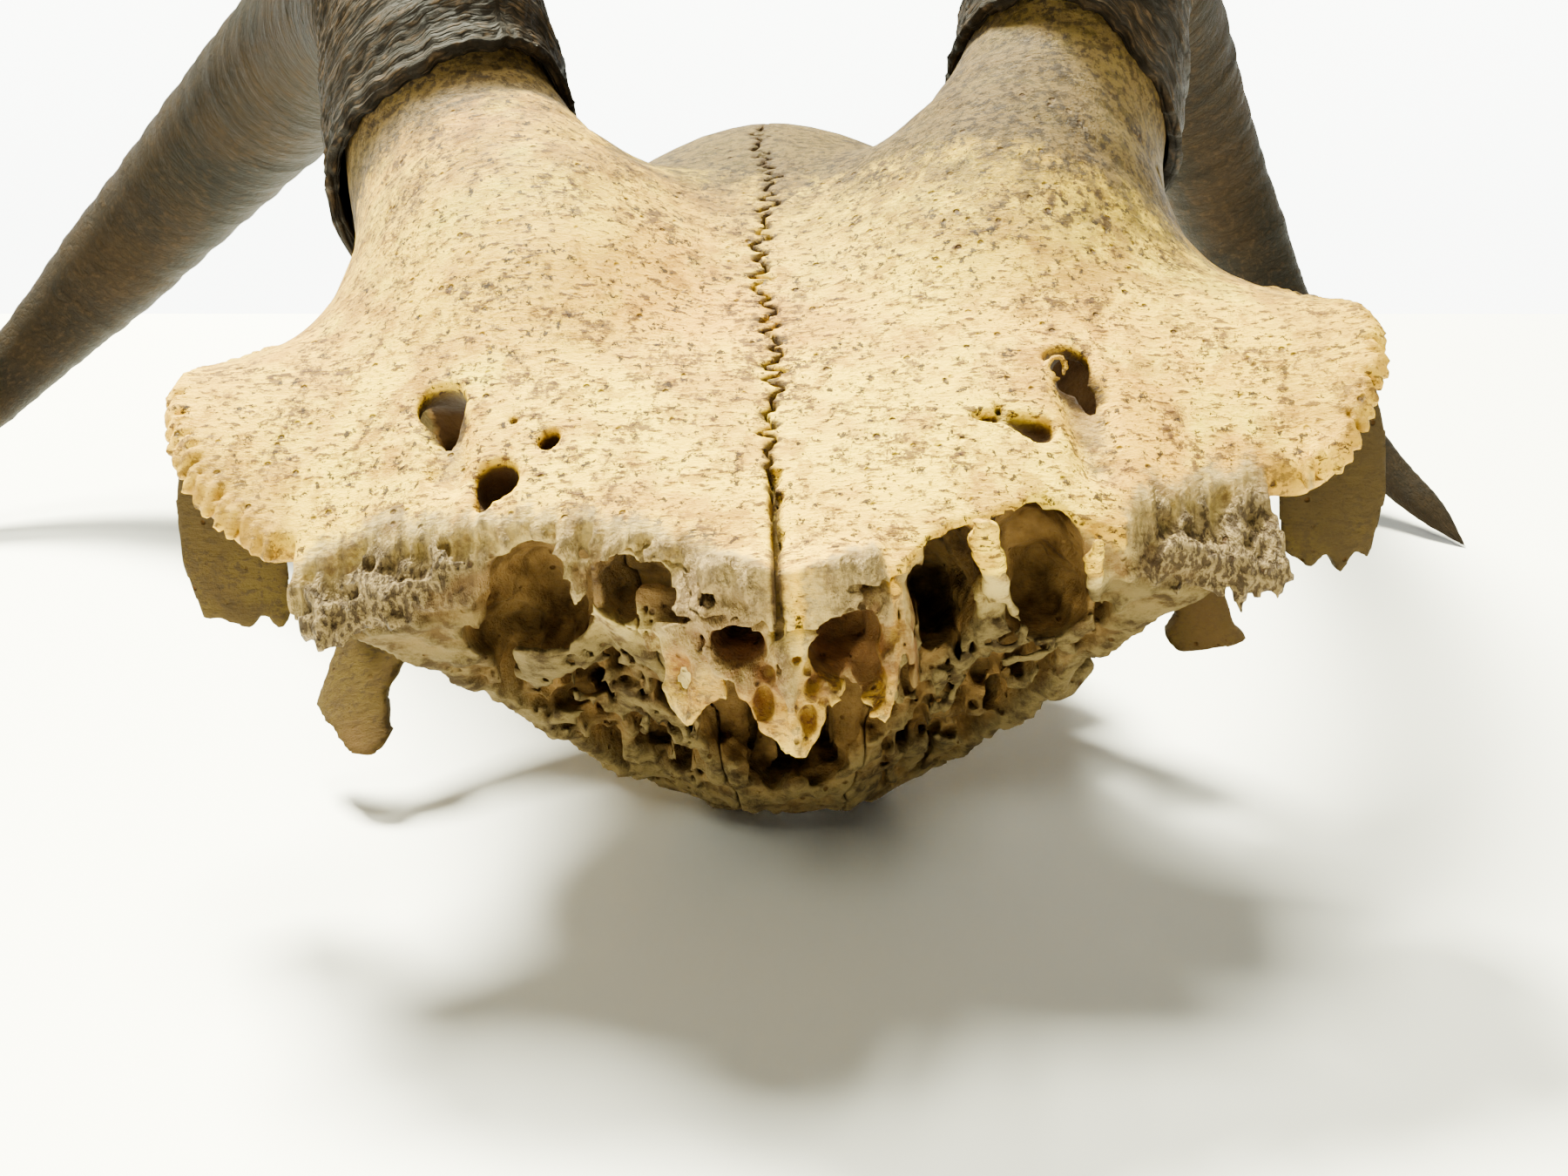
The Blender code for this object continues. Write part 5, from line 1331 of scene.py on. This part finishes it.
def sheath(name, side):
    """One sheath: rows of points from deep in its hollow, over the torn edge and along to the tip."""
    line, ahead, front, across, length = horn_line(side)
    angle = np.linspace(0, 2 * math.pi, AROUND, endpoint=False)
    slip, tilt, way = RIM_SLIP[side]
    edge = slip + tilt * np.cos(angle - way) + 0.8 * np.sin(angle * 3 + 0.6)
    edge += 0.55 * wave(angle, 0.12, 71 + side, 2 * math.pi)
    edge += 0.35 * wave(angle, 0.05, 73 + side, 2 * math.pi)
    edge += 1.3 * (1 - np.cos(2 * angle)) + 1.6 * np.exp(-((np.sin(angle / 2) / 0.35) ** 2))

    # Where the rows lie along the horn, close together where it is wrinkled
    tip = length - np.array([7, 5.5, 4, 2.8, 1.8, 1.0, 0.4, 0.1])
    wrinkled = np.arange(0, WRINKLED_LENGTH, ROW_STEP["wrinkled"])
    smooth = np.arange(WRINKLED_LENGTH, length - 8, ROW_STEP["smooth"])
    along = np.concatenate([wrinkled, smooth, tip])
    random = np.random.default_rng(75 + side)
    rings, place = [], 9.0
    while place < length * 0.86:
        rings.append((place, random.uniform(0.55, 1.0)))
        place += random.uniform(*RING_SPACING) * (1 - 0.45 * place / length)
    keel = 1 - 0.12 * np.cos(angle)
    rows, shares = [], {"age": [], "groove_and_hollow_shade": []}
    for s in along:
        share = s / length
        spot = share * HORN_STEPS
        i = min(int(spot), HORN_STEPS - 1)
        centre = line[i] + (line[i + 1] - line[i]) * (spot - i)
        taper = (1 - share) ** SHEATH_TAPER * (1 + MIDDLE_BULGE * math.exp(-(((share - 0.5) / 0.2) ** 2)))
        taper *= 1 - SHEATH_POINT * max(share - 0.7, 0) / 0.3
        point = 1 - 0.75 * fade(s - length + POINT_LENGTH, POINT_LENGTH) ** 2
        tall = (SHEATH_TIP + (SHEATH_IN_PLANE - SHEATH_TIP) * taper) * point
        wide = (SHEATH_TIP + (SHEATH_ACROSS - SHEATH_TIP) * taper) * point
        centre = centre - (0, 0, SHEATH_TIP * (1 - point) * 0.9)
        lean = s + 1.4 * np.cos(angle) + 0.7 * wave(angle, 0.5, 80 + side, 2 * math.pi)
        ring = sum(high * np.exp(-(((lean - at) / 2.3) ** 2)) for at, high in rings)
        ring = ring * (0.55 + 0.45 * np.cos(angle)) * (1 - share) ** 0.5
        calm = np.clip((80 - s) / 45, 0.0, 1)
        fine = crinkle(lean, angle, 0.9, 22, 84 + side) * 0.2
        broad = (crinkle(lean, angle, 2.2, 12, 86 + side) + 0.5 * wave(lean, 2.8, 88 + side)) * 0.26
        rough = calm * fine + (0.35 + 0.65 * calm) * broad
        curl = 0.9 * math.exp(-s / 3.0)
        grow = 1.25 * ring + rough + curl - 0.7
        ease = math.exp(-((s / RIM_EASE) ** 2))
        up = front[i] * (np.cos(angle) * (tall + grow))[:, None]
        up = up + across[i] * (np.sin(angle) * keel * (wide + grow))[:, None]
        rows.append(centre + up + ahead[i] * (edge * ease)[:, None])
        shares["age"].append(np.full(AROUND, fade(s - 40, 60)))
        # Darker in the wrinkles' valleys
        shares["groove_and_hollow_shade"].append(np.clip(-rough * 3.0 * calm - 0.1, 0, 1))

    # Back up the inside from the rim, which is about 1.5 mm thick
    inner = []
    for s, wall in ((-0.25, 0.5), (0.0, 1.1), (0.8, 1.5), (3, 1.6), (7, 1.7), (14, 1.9), (22, 3.5), (28, 8)):
        i = int(max(s, 0) / length * HORN_STEPS)
        tall, wide = SHEATH_IN_PLANE - wall, SHEATH_ACROSS - wall
        ease = math.exp(-((s / RIM_EASE) ** 2))
        up = front[i] * (np.cos(angle) * tall)[:, None] + across[i] * (np.sin(angle) * keel * wide)[:, None]
        inner.append(line[i] + up + ahead[i] * (edge * ease + min(s, 0))[:, None])
        shares["age"].insert(0, np.zeros(AROUND))
        # Painted shade inside the sheath's hollow, darker further in
        shares["groove_and_hollow_shade"].insert(0, np.full(AROUND, 0.5 + 0.06 * min(s, 8)))
    rows = inner[::-1] + rows
    count = len(rows)
    point = line[-1] + ahead[-1] * 0.3 - (0, 0, SHEATH_TIP * 0.67)
    bottom = line[int(30 / length * HORN_STEPS)]
    points = np.vstack(rows + [point[None], bottom[None]])
    ring = np.arange(AROUND)
    after = (ring + 1) % AROUND
    band = np.stack([ring, after, AROUND + after, AROUND + ring], 1)
    quads = np.vstack([band + k * AROUND for k in range(count - 1)])
    last = (count - 1) * AROUND
    end = np.full(AROUND, count * AROUND)
    caps = np.vstack([np.stack([last + ring, last + after, end], 1), np.stack([after, ring, end + 1], 1)])
    values = {key: np.concatenate([*parts, [0, 0]]) for key, parts in shares.items()}
    # Flat where the horn touches the table
    points[points[:, 2] < 0.02, 2] = 0.0
    made = mesh_object(name + "_horn", stood_up(points), caps, quads, values)
    layer = made.data.uv_layers.new(name="along")
    corner = np.zeros(len(made.data.loops), np.int32)
    made.data.loops.foreach_get("vertex_index", corner)
    turns = np.append(np.tile(ring / AROUND, count), [0.5, 0.5])[corner]
    runs = np.append(np.repeat(np.arange(count) / count, AROUND), [1, 0])[corner]
    layer.data.foreach_set("uv", np.stack([runs, turns], 1).astype(np.float32).ravel())
    # Turn every face outwards
    faces = bmesh.new()
    faces.from_mesh(made.data)
    bmesh.ops.recalc_face_normals(faces, faces=faces.faces)
    faces.to_mesh(made.data)
    faces.free()
    made.data.materials.append(HORN)
    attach(made, "root")
    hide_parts(name)


for name, side in (("horn_sheath_right", -1), ("horn_sheath_left", 1)):
    sheath(name, side)

# Table, light and camera: a white table that ends half a metre behind the nose, a bright wall, a window
# high behind at the left, a lamp overhead and a faint one in front. The camera stands 12 cm before the
# nose's root and 4 cm above it, looking down 19 degrees.

TABLE_END = 0.375
ROOM_GLOW = 0.05
WALL_GLOW = 8.5
LENS_MM = 34.0
FILM_MM = 36.0
CAMERA_PLACE = (1.2, -117.0, 91.0)
CAMERA_TILT = math.radians(71)


def plain(name, colour, rough):
    """A material of one colour."""
    finish = bpy.data.materials.new(name)
    finish.use_nodes = True
    shader = finish.node_tree.nodes["Principled BSDF"]
    shader.inputs["Base Color"].default_value = colour
    shader.inputs["Roughness"].default_value = rough
    return finish


table = bpy.data.meshes.new("table")
table.from_pydata([(-3, -3, 0), (3, -3, 0), (3, TABLE_END, 0), (-3, TABLE_END, 0)], [], [(0, 1, 2, 3)])
table = bpy.data.objects.new("table", table)
bpy.context.scene.collection.objects.link(table)
table.data.materials.append(plain("white laminate", linear("#F2F3F1"), 0.6))

world = bpy.data.worlds.new("white room")
bpy.context.scene.world = world
world.use_nodes = True
world.node_tree.nodes["Background"].inputs["Color"].default_value = linear("#F4F6F6")
world.node_tree.nodes["Background"].inputs["Strength"].default_value = ROOM_GLOW

wall = bpy.data.meshes.new("wall")
corners = [(-1.2, 0.8, -0.1), (1.2, 0.8, -0.1), (1.2, 0.8, 0.18), (-1.2, 0.8, 0.18)]
wall.from_pydata(corners, [], [(0, 1, 2, 3)])
wall = bpy.data.objects.new("wall", wall)
bpy.context.scene.collection.objects.link(wall)
bright = plain("bright wall", linear("#F4F6F6"), 1.0)
bright.node_tree.nodes["Principled BSDF"].inputs["Emission Color"].default_value = linear("#FAFFFA")
bright.node_tree.nodes["Principled BSDF"].inputs["Emission Strength"].default_value = WALL_GLOW
wall.data.materials.append(bright)

for name, place, power, size in (
    ("window", (-0.55, 0.78, 1.75), 460, 0.5),
    ("room lamp", (0.04, 0.16, 2.20), 120, 0.6),
    ("front lamp", (-0.1, -0.75, 0.60), 3.5, 0.2),
):
    lamp = bpy.data.lights.new(name, "AREA")
    lamp.size = size
    lamp.energy = power
    lamp.color = linear("#FDFCDE")[:3]
    panel = bpy.data.objects.new(name, lamp)
    panel.location = place
    panel.rotation_euler = (-Vector(place)).to_track_quat("-Z", "Y").to_euler()
    bpy.context.scene.collection.objects.link(panel)

view = bpy.data.cameras.new("photograph")
view.lens = LENS_MM
view.sensor_width = FILM_MM
camera = bpy.data.objects.new("photograph", view)
camera.location = Vector((np.array(CAMERA_PLACE) - BOX_CENTRE) * MM)
camera.rotation_euler = (CAMERA_TILT, 0, 0)
bpy.context.scene.collection.objects.link(camera)
bpy.context.scene.camera = camera
